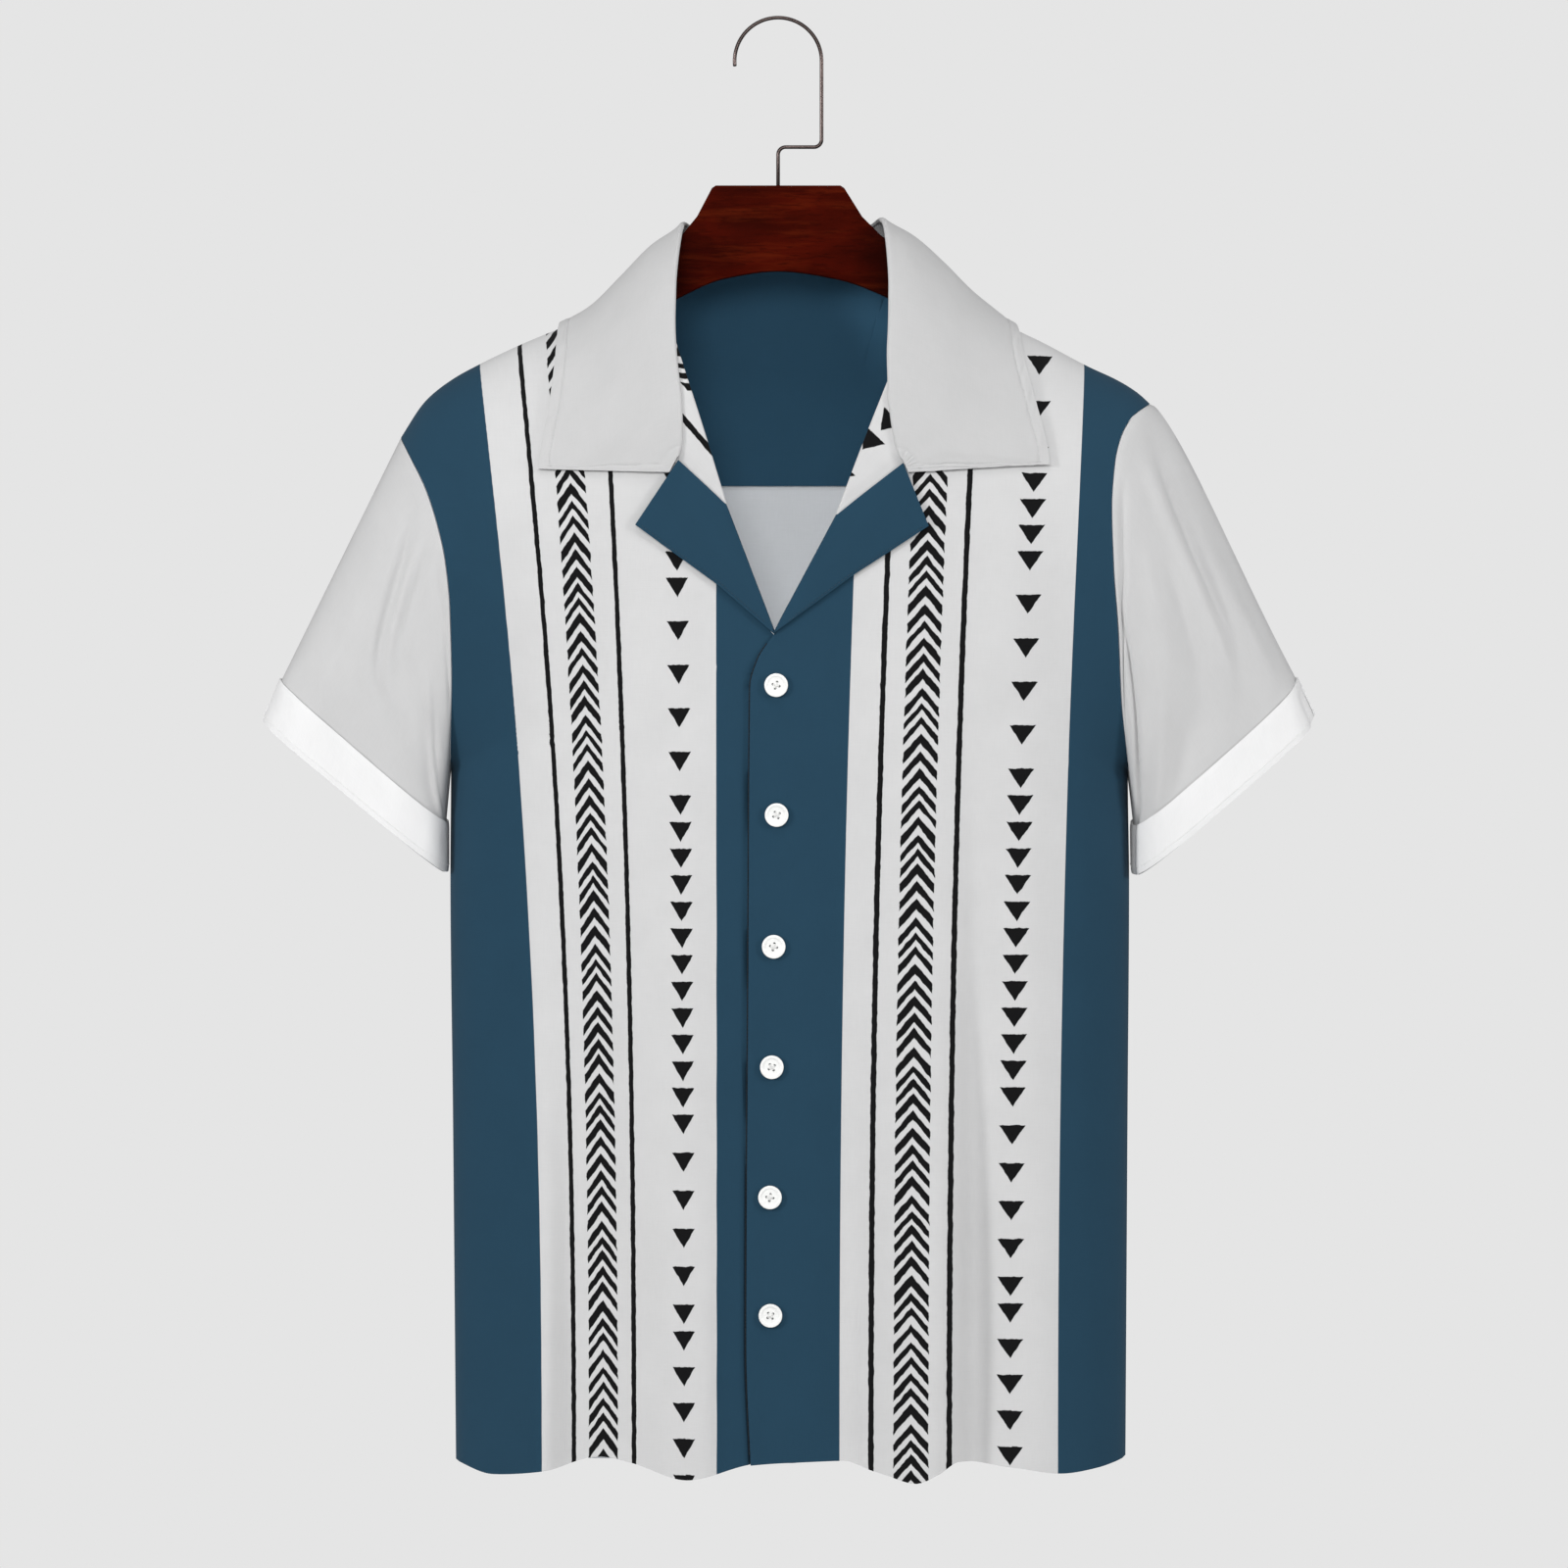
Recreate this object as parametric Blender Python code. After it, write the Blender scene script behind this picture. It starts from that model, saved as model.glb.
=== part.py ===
"""A short-sleeved camp-collar shirt, buttoned, on a wooden hanger.

Sizes are millimetres and turn into metres where a mesh is made. The origin is
where the hanger's hook rests on its rail. +X is the viewer's right, +Y points
away from the viewer, so the front of the shirt faces -Y, and +Z is up.

The whole body of the shirt is one surface, skin(side, turn): side runs round
the body from seam to seam, and turn runs from the shoulder ridge (0) down the
front (+) or down the back (-). Every piece that lies on the body is a patch
of that surface, lifted out along skin_normals.
"""

import math

import bpy
import numpy as np

MM = 0.001
CLOTH = 1.0
COLLAR_CLOTH = 1.6
SEAM = 0.3  # air between two sewn pieces
LAYER = CLOTH + SEAM
ARMHOLE_GAP = 0.45  # how far front and back stop short of the armhole seam

# ---- body of the shirt ----
SIDE_TOP = -231.0  # shoulder height above the side seams
CROWN = 140.0  # depth over which the shoulder rounds into front and back
ROUNDNESS = 2.4  # 2 is an ellipse seen from above, more is boxier
UNDERARM = -482.0
ARM_REACH = 200.0  # height over which the body opens towards the arm
ARM_OPENING = 0.35

# x, z of the shoulder ridge, carried on over the neck
RIDGE = (
    (-244, -272), (-226, -245.2), (-209, -231.6), (-194, -223.2), (-165, -209.3),
    (-138, -198), (-127, -193), (-116, -186), (-97, -168.5), (-77, -150),
    (-60, -140), (-40, -118), (0, -95), (45, -118), (66, -136), (83, -145),
    (103, -161), (122, -178.5), (138, -190.5), (150, -198.3), (169, -207.6),
    (199, -223.4), (218, -232.3), (230.4, -240), (241, -249.5),
)
# z, x of each side seam
SIDE_LEFT = ((-926, -206.6), (-700, -208.6), (-548, -210.2), (-482, -209.8), (-200, -209.8))
SIDE_RIGHT = ((-926, 222.8), (-700, 224.2), (-548, 225.2), (-482, 224.4), (-200, 224.4))
# drop below the ridge, distance of the cloth from the middle plane
FRONT_DEPTH = ((0, 70), (300, 70), (450, 66), (640, 58), (840, 52))
BACK_DEPTH = ((0, 50), (300, 50), (450, 48), (640, 44), (840, 42))

# soft folds that grow towards the hem: x, width, height
FRONT_FOLDS = (
    (-170, 26, 8), (-122, 24, -8), (-62, 26, 9),
    (44, 16, -4), (84, 22, 9), (128, 18, -8), (178, 26, 6),
)
BACK_FOLDS = ((-150, 34, 8), (-60, 36, -6), (30, 34, 8), (140, 36, 7))
FOLD_START, FOLD_END = 330.0, 800.0

# x, z of the armholes, shoulder tip to underarm
ARMHOLE_LEFT = (
    (-242, -269), (-234, -284), (-225, -302), (-217.5, -324), (-211.8, -349),
    (-208.8, -380), (-208, -421), (-209.2, -460), (-209.8, UNDERARM),
)
ARMHOLE_RIGHT = (
    (238.6, -247.4), (226.5, -256.5), (218.6, -270.3), (214.6, -287), (212.4, -316),
    (213.6, -355), (216.4, -391), (218.8, -436), (222.5, -468), (224.4, UNDERARM),
)
# x, z of the front necklines, shoulder to the break of the lapels
NECK_LEFT = ((-77, -150), (-73, -165), (-70, -180), (-67.5, -205), (-33.6, -312), (-4.5, -394.5))
NECK_RIGHT = ((83, -145), (79, -165), (76, -190), (73, -215), (70.5, -234), (37.7, -319), (-1.8, -395))
NECK_BACK = ((-77, -150), (-60, -158), (-35, -160), (0, -159), (38, -160), (64, -157), (83, -145))
# x, z of the middle edges of the fronts, break to hem
UNDER_EDGE = ((-4.5, -394.5), (6, -408), (13, -430), (13, -600), (13, -921))
LAP_EDGE = ((-1.8, -395), (-13, -412.5), (-17.7, -430), (-19, -620), (-20.4, -850), (-17.6, -925.5))
LAP_BLEND = (20.0, 50.0)  # x over which the lapped front comes down to the body
# x, z of the hems
HEM_LEFT = (
    (13, -921), (-17.8, -925), (-58, -934.4), (-93, -924), (-113, -920.5),
    (-150, -929.5), (-182, -932.4), (-206.6, -925),
)
HEM_RIGHT = (
    (-17.6, -925.5), (40, -922), (60, -928), (85, -935.2), (100, -929), (113, -921),
    (146, -926), (180, -930.5), (202, -928), (222.8, -922.5),
)
HEM_BACK = ((-206.6, -925), (-60, -929), (60, -926), (222.8, -922.5))

# ---- collar, lapels and facings: x, z ----
LAPEL_LEFT = {
    "roll": ((-33.9, -313), (-4.2, -391)),
    "top": ((-63.2, -285.6), (-90.6, -326.6)),
    "outer": ((-4.2, -391), (-38.9, -364.2), (-90.6, -326.6)),
}
LAPEL_RIGHT = {
    "roll": ((37.9, -320), (0.8, -391)),
    "top": ((79.4, -287.4), (95.6, -327.4)),
    "outer": ((0.8, -391), (48, -358.4), (95.6, -327.4)),
}
FACING_LEFT = {"roll": ((-67.3, -206), (-34.2, -311.2)), "tuck": ((-72, -204), (-68.5, -279.5))}
FACING_RIGHT = {"roll": ((70.2, -235.5), (38.2, -318.2)), "tuck": ((77, -228), (83.2, -281.6))}
LAPEL_LIFT, LAPEL_ROLL = 1.7, 1.4
FACING_LIFT = 1.7

# Stations of the collar's fall, each across it: x, z and lift of the fold, then
# of the outer edge, and the columns up to the next station. A station past the
# ridge gives drops below the ridge in place of z.
FRONT_STATIONS_LEFT = (
    (-63.8, -283.6, 4.2, -68.9, -293.2, 2.8, 2),
    (-62.0, -275.0, 4.2, -96.0, -292.8, 2.6, 2),
    (-62.0, -263.0, 4.4, -124.0, -292.2, 2.5, 2),
    (-62.5, -245.0, 4.6, -152.1, -291.5, 2.4, 3),
    (-66.0, -207.6, 5.0, -146.0, -254.4, 2.4, 3),
    (-65.5, -176.0, 5.5, -141.8, -223.0, 2.4, 3),
)
FRONT_STATIONS_RIGHT = (
    (78.8, -285.0, 4.2, 82.6, -293.2, 2.8, 2),
    (76.0, -276.0, 4.2, 108.0, -292.0, 2.6, 2),
    (73.4, -263.0, 4.4, 138.0, -290.2, 2.5, 2),
    (71.0, -246.0, 4.6, 172.7, -288.7, 2.4, 3),
    (70.5, -212.0, 5.0, 164.0, -250.0, 2.4, 3),
    (71.0, -176.0, 5.5, 156.5, -221.0, 2.4, 3),
)
RIDGE_STATION_LEFT = (-56.8, 0.0, 7.4, -138.0, 0.0, 3.2, 3)
RIDGE_STATION_RIGHT = (63.4, 0.0, 7.5, 150.0, 0.0, 3.0, 3)
BACK_STATIONS = (
    (-50.0, 9.0, 8.5, -104.0, 35.0, 3.0, 3),
    (-26.0, 29.0, 10.0, -57.0, 68.0, 3.0, 3),
    (2.0, 38.0, 10.0, 2.0, 105.0, 3.0, 3),
    (31.0, 29.0, 10.0, 63.0, 69.0, 3.0, 3),
    (56.0, 9.0, 8.5, 114.0, 36.0, 3.0, 3),
)
COLLAR_ROWS = 6
STAND_TUCK = 2.6  # how far the stand's top stays inside the collar's fold
STAND_END = 4.35  # stations from the point at which the stand runs out

# rows of the back at which its inside layer starts, on the shoulders and at the neck
YOKE_SHOULDER_ROW, YOKE_NECK_ROW = 1.3, 0.12
YOKE_BOTTOM = -298.3
YOKE_LIFT = -3.0
YOKE_ROWS = 8
YOKE_COLUMNS = (2, 22)

# ---- sleeves: outer and inner ends of a ring, x and z ----
SLEEVES = {
    "left": {
        "armhole": ARMHOLE_LEFT, "out": -1,
        "seam": ((-318.4, -424.0), (-213.8, -515.0)),
        "end": ((-329.6, -451.0), (-213.8, -547.0)),
        "bulge": 0.0, "sag": 3.0,
    },
    "right": {
        "armhole": ARMHOLE_RIGHT, "out": 1,
        "seam": ((332.2, -423.2), (228.6, -515.3)),
        "end": ((343.8, -448.0), (228.8, -547.0)),
        "bulge": 18.0, "sag": 8.0,
    },
}
SLEEVE_HALF_DEPTH = 34.0
SLEEVE_ROUNDNESS = 2.7  # 2 is an ellipse, more is flatter in front and behind
SLEEVE_START = 0.9  # air round the armhole seam, which meets at an angle
SLEEVE_COLUMNS, SLEEVE_ROWS, CUFF_ROWS = 24, 8, 3

# ---- buttons ----
BUTTON_RADIUS = 7.5
BUTTON_PROFILE = ((0, 0), (6.4, 0), (7.5, 0.9), (7.5, 1.5), (6.7, 2.4), (5.6, 2.2), (5.0, 1.7), (0, 1.7))
BUTTON_SIDES = 16
BUTTON_HOLE_RADIUS, BUTTON_HOLE_PITCH = 0.85, 3.0
BUTTONS = ((-1.2, -428.6), (-0.9, -511), (-2.8, -594.7), (-4.0, -671.4), (-5.2, -754.4), (-4.9, -829.8))
BUTTON_GAP = 0.5

# ---- hanger and hook ----
# x, z of the top edge and of the lower edge
HANGER_TOP = (
    (-214, -241.2), (-206, -234.2), (-194, -227.2), (-165, -212.8), (-138, -201.8), (-116, -190.2),
    (-97, -172.8), (-77, -153), (-64, -141.5), (-52, -126.8), (-42.5, -108.6), (-40, -107),
    (0, -107), (40, -107), (42.5, -108.6), (54, -127), (66, -139), (72, -143.6), (83, -149.5),
    (103, -164.4), (122, -181.6), (138, -193.6), (150, -201.2), (169, -210.4), (199, -226.2), (209, -231.2), (215, -235.6),
)
HANGER_FOOT = (
    (-214, -246), (-206, -249), (-190, -247), (-150, -229), (-110, -206), (-65.5, -179.8),
    (-34, -166.5), (0, -161.9), (38, -167), (73, -180.2), (112, -205), (150, -227.5), (192, -246), (207, -247), (215, -243),
)
HANGER_HALF_DEPTH = 6.0
HANGER_SIDES = 14
WIRE_RADIUS = 1.45
HOOK_RADIUS = 27.95
HOOK_LEG_FOOT, HOOK_BEND = -82.0, 7.0
HOOK_TIP_ANGLE = 187.0


def curve(table):
    """A smooth curve through the table's points that never overshoots them."""
    x, y = np.array(table, float).T
    step, slope = np.diff(x), np.diff(y) / np.diff(x)
    grade = np.concatenate([slope[:1], np.zeros(len(x) - 2), slope[-1:]])
    same = slope[1:] * slope[:-1] > 0
    grade[1:-1][same] = 2 * (slope[1:] * slope[:-1])[same] / (slope[1:] + slope[:-1])[same]

    def value(at):
        at = np.clip(at, x[0], x[-1])
        k = np.clip(np.searchsorted(x, at) - 1, 0, len(x) - 2)
        t = (at - x[k]) / step[k]
        return (
            (2 * t**3 - 3 * t**2 + 1) * y[k]
            + (t**3 - 2 * t**2 + t) * step[k] * grade[k]
            + (3 * t**2 - 2 * t**3) * y[k + 1]
            + (t**3 - t**2) * step[k] * grade[k + 1]
        )

    return value


def path(points, straight=False):
    """The line through the points as a function of its length, from 0 to 1."""
    points = np.array(points, float)
    run = np.concatenate([[0], np.cumsum(np.linalg.norm(np.diff(points, axis=0), axis=1))])
    run /= run[-1]
    if straight:
        return lambda t: np.stack([np.interp(t, run, column) for column in points.T], -1)
    columns = [curve(np.stack([run, column], -1)) for column in points.T]
    return lambda t: np.stack([column(t) for column in columns], -1)


def joined(first, second, at):
    """Two paths end to end, the second starting where t is at."""

    def value(t):
        t = np.asarray(t, float)
        early = first(np.clip(t / at, 0, 1))
        late = second(np.clip((t - at) / (1 - at), 0, 1))
        return np.where((t < at)[..., None], early, late)

    return value


def ramp(value, low, high):
    t = np.clip((value - low) / (high - low), 0, 1)
    return t * t * (3 - 2 * t)


ridge = curve(RIDGE)
side_left, side_right = curve(SIDE_LEFT), curve(SIDE_RIGHT)
front_depth, back_depth = curve(FRONT_DEPTH), curve(BACK_DEPTH)


def drop_of(turn):
    turn = np.abs(turn)
    over = CROWN * (1 - np.cos(np.minimum(turn, math.pi / 2)))
    return over + CROWN * np.maximum(turn - math.pi / 2, 0)


def turn_of(drop):
    over = np.arccos(np.clip(1 - drop / CROWN, 0, 1))
    return over + np.maximum(drop / CROWN - 1, 0)


def girth(drop):
    """Middle and half width of the body at this drop, wider where it opens to the arm."""
    z = SIDE_TOP - drop
    middle = (side_left(z) + side_right(z)) / 2
    half = (side_right(z) - side_left(z)) / 2
    reach = np.clip((SIDE_TOP - UNDERARM - drop) / ARM_REACH, 0, 1)
    opening = ARM_OPENING * np.sin(math.pi / 2 * reach) ** 1.2
    return middle, half / (1 - opening)


def folds(x, drop, front):
    total = np.zeros(np.broadcast(x, drop).shape)
    for middle, width, height in FRONT_FOLDS if front else BACK_FOLDS:
        total = total + height * np.exp(-(((x - middle) / width) ** 2))
    return total * ramp(drop, FOLD_START, FOLD_END)


def skin(side, turn):
    """Points of the body's cloth, side and turn as the first lines of this file say."""
    side, turn = np.broadcast_arrays(np.asarray(side, float), np.asarray(turn, float))
    drop = drop_of(turn)
    middle, half = girth(drop)
    x = middle + half * np.sign(side) * np.abs(np.sin(side)) ** (2 / ROUNDNESS)
    narrow = np.abs(np.cos(side)) ** (2 / ROUNDNESS)
    round_off = np.sin(np.minimum(np.abs(turn), math.pi / 2)) * narrow
    out = np.where(
        turn >= 0,
        -(front_depth(drop) + folds(x, drop, True) * narrow) * round_off,
        (back_depth(drop) + folds(x, drop, False) * narrow) * round_off,
    )
    return np.stack([x, out, ridge(x) - drop], -1)


def skin_normals(side, turn):
    nudge = 1e-4
    inward = -np.sign(side) * nudge + (np.asarray(side) == 0) * nudge
    here = skin(side, turn)
    along_side = (skin(side + inward, turn) - here) * np.sign(inward)[..., None]
    along_turn = skin(side, turn + nudge) - skin(side, turn - nudge)
    normal = np.cross(along_turn, along_side)
    return normal / np.linalg.norm(normal, axis=-1, keepdims=True)


def on_body(points, back=False):
    """(side, turn) of each x, z on the front or on the back."""
    points = np.array(points, float)
    x, z = points[..., 0], points[..., 1]
    drop = np.maximum(ridge(x) - z, 0)
    middle, half = girth(drop)
    across = np.clip((x - middle) / half, -1, 1)
    side = np.sign(across) * np.arcsin(np.abs(across) ** (ROUNDNESS / 2))
    return np.stack([side, turn_of(drop) * (-1 if back else 1)], -1)


def shell(name, points, normals, thickness, loop=False):
    """A closed wall of the thickness about a grid of points, as an object."""
    rows, columns = points.shape[:2]
    far = rows * columns
    layers = [points + normals * thickness / 2, points - normals * thickness / 2]
    corners = np.concatenate([layer.reshape(-1, 3) for layer in layers])

    def at(i, j):
        return i * columns + j % columns

    faces = []
    width = columns if loop else columns - 1
    for i in range(rows - 1):
        for j in range(width):
            a, b, c, d = at(i, j), at(i, j + 1), at(i + 1, j + 1), at(i + 1, j)
            faces += [(a, b, c, d), (far + d, far + c, far + b, far + a)]
            if i == 0:
                faces.append((b, a, far + a, far + b))
            if i == rows - 2:
                faces.append((d, c, far + c, far + d))
            if not loop and j == 0:
                faces.append((a, d, far + d, far + a))
            if not loop and j == width - 1:
                faces.append((c, b, far + b, far + c))
    return make(name, corners, faces)


def make(name, corners, faces):
    """An object of these corners and faces, turned so that the faces look out."""
    corners = np.asarray(corners, float)
    volume = 0.0
    for face in faces:
        fan = corners[list(face)]
        for k in range(1, len(face) - 1):
            volume += np.dot(fan[0], np.cross(fan[k], fan[k + 1]))
    if volume < 0:
        faces = [tuple(reversed(face)) for face in faces]
    mesh = bpy.data.meshes.new(name)
    mesh.from_pydata((corners * MM).tolist(), [], faces)
    thing = bpy.data.objects.new(name, mesh)
    bpy.context.scene.collection.objects.link(thing)
    return thing


def grid_normals(points, loop=False):
    """Normals of a grid whose columns may close into a ring."""
    if loop:
        across = np.roll(points, -1, axis=1) - np.roll(points, 1, axis=1)
    else:
        across = np.gradient(points, axis=1)
    normal = np.cross(np.gradient(points, axis=0), across)
    return normal / np.linalg.norm(normal, axis=-1, keepdims=True)


def coons(top, bottom, first, last, across, down):
    """A grid of (side, turn) between four edges: top and bottom run across, first and last down."""
    u, v = np.meshgrid(across, down)
    u, v = u[..., None], v[..., None]
    edges_down = (1 - u) * first(down)[:, None] + u * last(down)[:, None]
    edges_across = (1 - v) * top(across)[None] + v * bottom(across)[None]
    ends_top = (1 - u) * top(np.array([0.0])) + u * top(np.array([1.0]))
    ends_bottom = (1 - u) * bottom(np.array([0.0])) + u * bottom(np.array([1.0]))
    return edges_down + edges_across - (1 - v) * ends_top - v * ends_bottom


def body_edge(points, back=False, straight=False):
    """A line given as x, z, as a function that gives (side, turn)."""
    line = path(points, straight)
    return lambda t: on_body(line(t), back)


def seam_side(sign, drops, back=False):
    """The side seam as (side, turn), from the underarm down to the hem."""
    depth = 45.0
    side = math.pi / 2 - (SEAM / 2 / depth) ** (ROUNDNESS / 2) * 1.6
    turns = turn_of(np.array(drops)) * (-1 if back else 1)
    return lambda t: np.stack([np.full(np.shape(t), sign * side), turns[0] + (turns[1] - turns[0]) * t], -1)


def armhole_line(points, pulled_in=0.0):
    """The armhole from the ridge down, moved in towards the middle of the body, less at its lower end."""
    points = np.array(points, float)
    share = np.linspace(1, 0.35, len(points))
    points[:, 0] -= np.sign(points[:, 0]) * pulled_in * share
    points[0, 1] = ridge(points[0, 0])
    return points


def keep_seams(grid, back=False):
    """Holds a panel 0.15 mm or more off the ridge and off the side seams."""
    sign = -1 if back else 1
    least = SEAM / 2 / 45
    grid[..., 1] = sign * np.maximum(sign * grid[..., 1], least)
    most = math.pi / 2 - (least ** (ROUNDNESS / 2)) * 1.6
    grid[..., 0] = np.clip(grid[..., 0], -most, most)
    return grid


def lap_lift(x):
    return LAYER * (1 - ramp(x, *LAP_BLEND))


BREAK_ROW = 0.42  # share of the rows above the lapels' break and the underarm
ROWS = np.concatenate([BREAK_ROW * np.linspace(0, 1, 11)[:-1] ** 1.35, np.linspace(BREAK_ROW, 1, 12)])


def front(name, sign, armhole, neck, edge, hem, lift=None):
    """One front: shoulder on top, neck and middle edge first, armhole and side seam last."""
    tip_to_side = armhole_line(armhole, ARMHOLE_GAP)
    shoulder = path([neck[0], tip_to_side[0]])
    drops = (SIDE_TOP - UNDERARM, ridge(np.array(hem[-1][0])) - hem[-1][1])
    grid = coons(
        lambda t: on_body(np.stack([shoulder(t)[..., 0], ridge(shoulder(t)[..., 0])], -1)),
        body_edge(hem),
        joined(body_edge(neck), body_edge(edge), BREAK_ROW),
        joined(body_edge(tip_to_side), seam_side(sign, drops), BREAK_ROW),
        np.linspace(0, 1, 15),
        ROWS,
    )
    grid = keep_seams(grid)
    side, turn = grid[..., 0], grid[..., 1]
    points, normals = skin(side, turn), skin_normals(side, turn)
    if lift:
        points = points + normals * lift(points[..., 0])[..., None]
    shell(name, points, normals, CLOTH)


def back():
    left, right = armhole_line(ARMHOLE_LEFT, ARMHOLE_GAP), armhole_line(ARMHOLE_RIGHT, ARMHOLE_GAP)
    corners = (0.0, 0.31, 0.69, 1.0)

    def top(t):
        t = np.asarray(t, float)
        shoulder_x = np.where(
            t < corners[1],
            left[0][0] + (NECK_BACK[0][0] - left[0][0]) * t / corners[1],
            NECK_BACK[-1][0] + (right[0][0] - NECK_BACK[-1][0]) * (t - corners[2]) / (1 - corners[2]),
        )
        neck = path(NECK_BACK)(np.clip((t - corners[1]) / (corners[2] - corners[1]), 0, 1))
        on_ridge = np.stack([shoulder_x, ridge(shoulder_x)], -1)
        inside = ((t > corners[1]) & (t < corners[2]))[..., None]
        return on_body(np.where(inside, neck, on_ridge), True)

    drops_left = (SIDE_TOP - UNDERARM, ridge(np.array(HEM_BACK[0][0])) - HEM_BACK[0][1])
    drops_right = (SIDE_TOP - UNDERARM, ridge(np.array(HEM_BACK[-1][0])) - HEM_BACK[-1][1])
    across = np.concatenate([
        np.linspace(corners[0], corners[1], 8)[:-1],
        np.linspace(corners[1], corners[2], 11)[:-1],
        np.linspace(corners[2], corners[3], 8),
    ])
    grid = coons(
        top,
        body_edge(HEM_BACK, True),
        joined(body_edge(left, True), seam_side(-1, drops_left, True), BREAK_ROW),
        joined(body_edge(right, True), seam_side(1, drops_right, True), BREAK_ROW),
        across,
        ROWS,
    )
    grid = keep_seams(grid, True)
    side, turn = grid[..., 0], grid[..., 1]
    points, normals = skin(side, turn), skin_normals(side, turn)
    shell("back", points, normals, CLOTH)
    yoke_facing(points, normals)


def layer(name, edges, lifts, counts, under=None):
    """A piece that lies on the body: its four edges as x, z, lifts(u, v, x), and its columns and rows."""
    across, down = np.linspace(0, 1, counts[0]), np.linspace(0, 1, counts[1])
    grid = coons(*(body_edge(edge, straight=True) for edge in edges), across, down)
    side, turn = grid[..., 0], grid[..., 1]
    points, normals = skin(side, turn), skin_normals(side, turn)
    u, v = np.meshgrid(across, down)
    lift = lifts(u, v)
    if under:
        lift = lift + under(points[..., 0])
    shell(name, points + normals * lift[..., None], normals, CLOTH)


def lapel(name, shape, under=None):
    (roll_top, roll_foot), (notch, tip) = shape["roll"], shape["top"]
    layer(
        name,
        ([roll_top, roll_foot], [notch, tip], [roll_top, notch], shape["outer"]),
        lambda u, v: LAPEL_LIFT + LAPEL_ROLL * np.sin(math.pi * np.clip(v, 0, 1)) * np.sin(math.pi * np.clip(u, 0, 1)) ** 0.5,
        (11, 7),
        under=under,
    )


def neck_facing(name, shape, under=None):
    (roll_top, roll_foot), (tuck_top, tuck_foot) = shape["roll"], shape["tuck"]
    layer(
        name,
        ([roll_top, roll_foot], [tuck_top, tuck_foot], [roll_top, tuck_top], [roll_foot, tuck_foot]),
        lambda u, v: np.full(np.shape(u), FACING_LIFT),
        (10, 5),
        under=under,
    )


def yoke_facing(points, normals):
    """The back's inside layer: points of the back itself, moved in, down to a straight edge."""
    columns = range(YOKE_COLUMNS[0], YOKE_COLUMNS[1] + 1)
    rows = np.arange(len(points))
    grid = []
    for j in columns:
        at_neck = NECK_BACK[0][0] < points[0, j, 0] < NECK_BACK[-1][0]
        start = YOKE_NECK_ROW if at_neck else YOKE_SHOULDER_ROW
        stop = np.interp(-YOKE_BOTTOM, -points[:, j, 2], rows)
        at = np.linspace(start, stop, YOKE_ROWS + 1)
        column = [np.interp(at, rows, (points + normals * YOKE_LIFT)[:, j, k]) for k in range(3)]
        grid.append(np.stack(column, -1))
    grid = np.stack(grid, 1)
    shell("yoke_facing", grid, grid_normals(grid), CLOTH)


def collar_stations():
    """Each station as (side, turn, lift) of the fold and of the outer edge, and the columns after it."""
    stations = []

    def add(row, past_ridge):
        x_fold, z_fold, lift_fold, x_edge, z_edge, lift_edge, columns = row
        if past_ridge:
            z_fold, z_edge = ridge(np.array(x_fold)) - z_fold, ridge(np.array(x_edge)) - z_edge
        fold = [*on_body((x_fold, z_fold), past_ridge), lift_fold]
        edge = [*on_body((x_edge, z_edge), past_ridge), lift_edge]
        stations.append((np.array(fold + edge), columns))

    for row in FRONT_STATIONS_LEFT:
        add(row, False)
    add(RIDGE_STATION_LEFT, True)
    for row in BACK_STATIONS:
        add(row, True)
    add(RIDGE_STATION_RIGHT, True)
    right = FRONT_STATIONS_RIGHT[::-1]
    counts = [row[-1] for row in right[1:]] + [0]
    for row, columns in zip(right, counts):
        add((*row[:-1], columns), False)
    return stations


def collar_columns(stations, start=0.0, end=None):
    """Values between stations: straight to each collar point, smooth round the neck."""
    values = np.array([station for station, _ in stations])
    last = len(stations) - 1
    corners = (3, last - 3)
    places = [0.0]
    for k, (_, columns) in enumerate(stations[:-1]):
        places += list(k + np.arange(1, columns + 1) / columns)
    places = np.array(places)
    end = last if end is None else end
    places = np.unique(np.concatenate([[start], places[(places > start) & (places < end)], [end]]))
    numbers = np.arange(last + 1.0)
    middle = slice(corners[0], corners[1] + 1)
    out = []
    for column in values.T:
        smooth = curve(np.stack([numbers[middle], column[middle]], -1))
        plain = np.interp(places, numbers, column)
        out.append(np.where((places >= corners[0]) & (places <= corners[1]), smooth(places), plain))
    out = np.array(out).T
    flat = (places < corners[0]) | (places > corners[1])
    for first in (0, 3):
        x, _, z = np.moveaxis(skin(values[:, first], values[:, first + 1]), -1, 0)
        line = np.stack([np.interp(places[flat], numbers, x), np.interp(places[flat], numbers, z)], -1)
        out[flat, first:first + 2] = on_body(line)
    return places, out


def collar():
    stations = collar_stations()
    _, values = collar_columns(stations)
    v = np.linspace(0, 1, COLLAR_ROWS + 1)[:, None]
    side = values[:, 0] + (values[:, 3] - values[:, 0]) * v
    turn = values[:, 1] + (values[:, 4] - values[:, 1]) * v
    lift = values[:, 5] + (values[:, 2] - values[:, 5]) * (1 - v) ** 1.2
    points = skin(side, turn) + skin_normals(side, turn) * lift[..., None]
    shell("collar", points, grid_normals(points), COLLAR_CLOTH)


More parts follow.
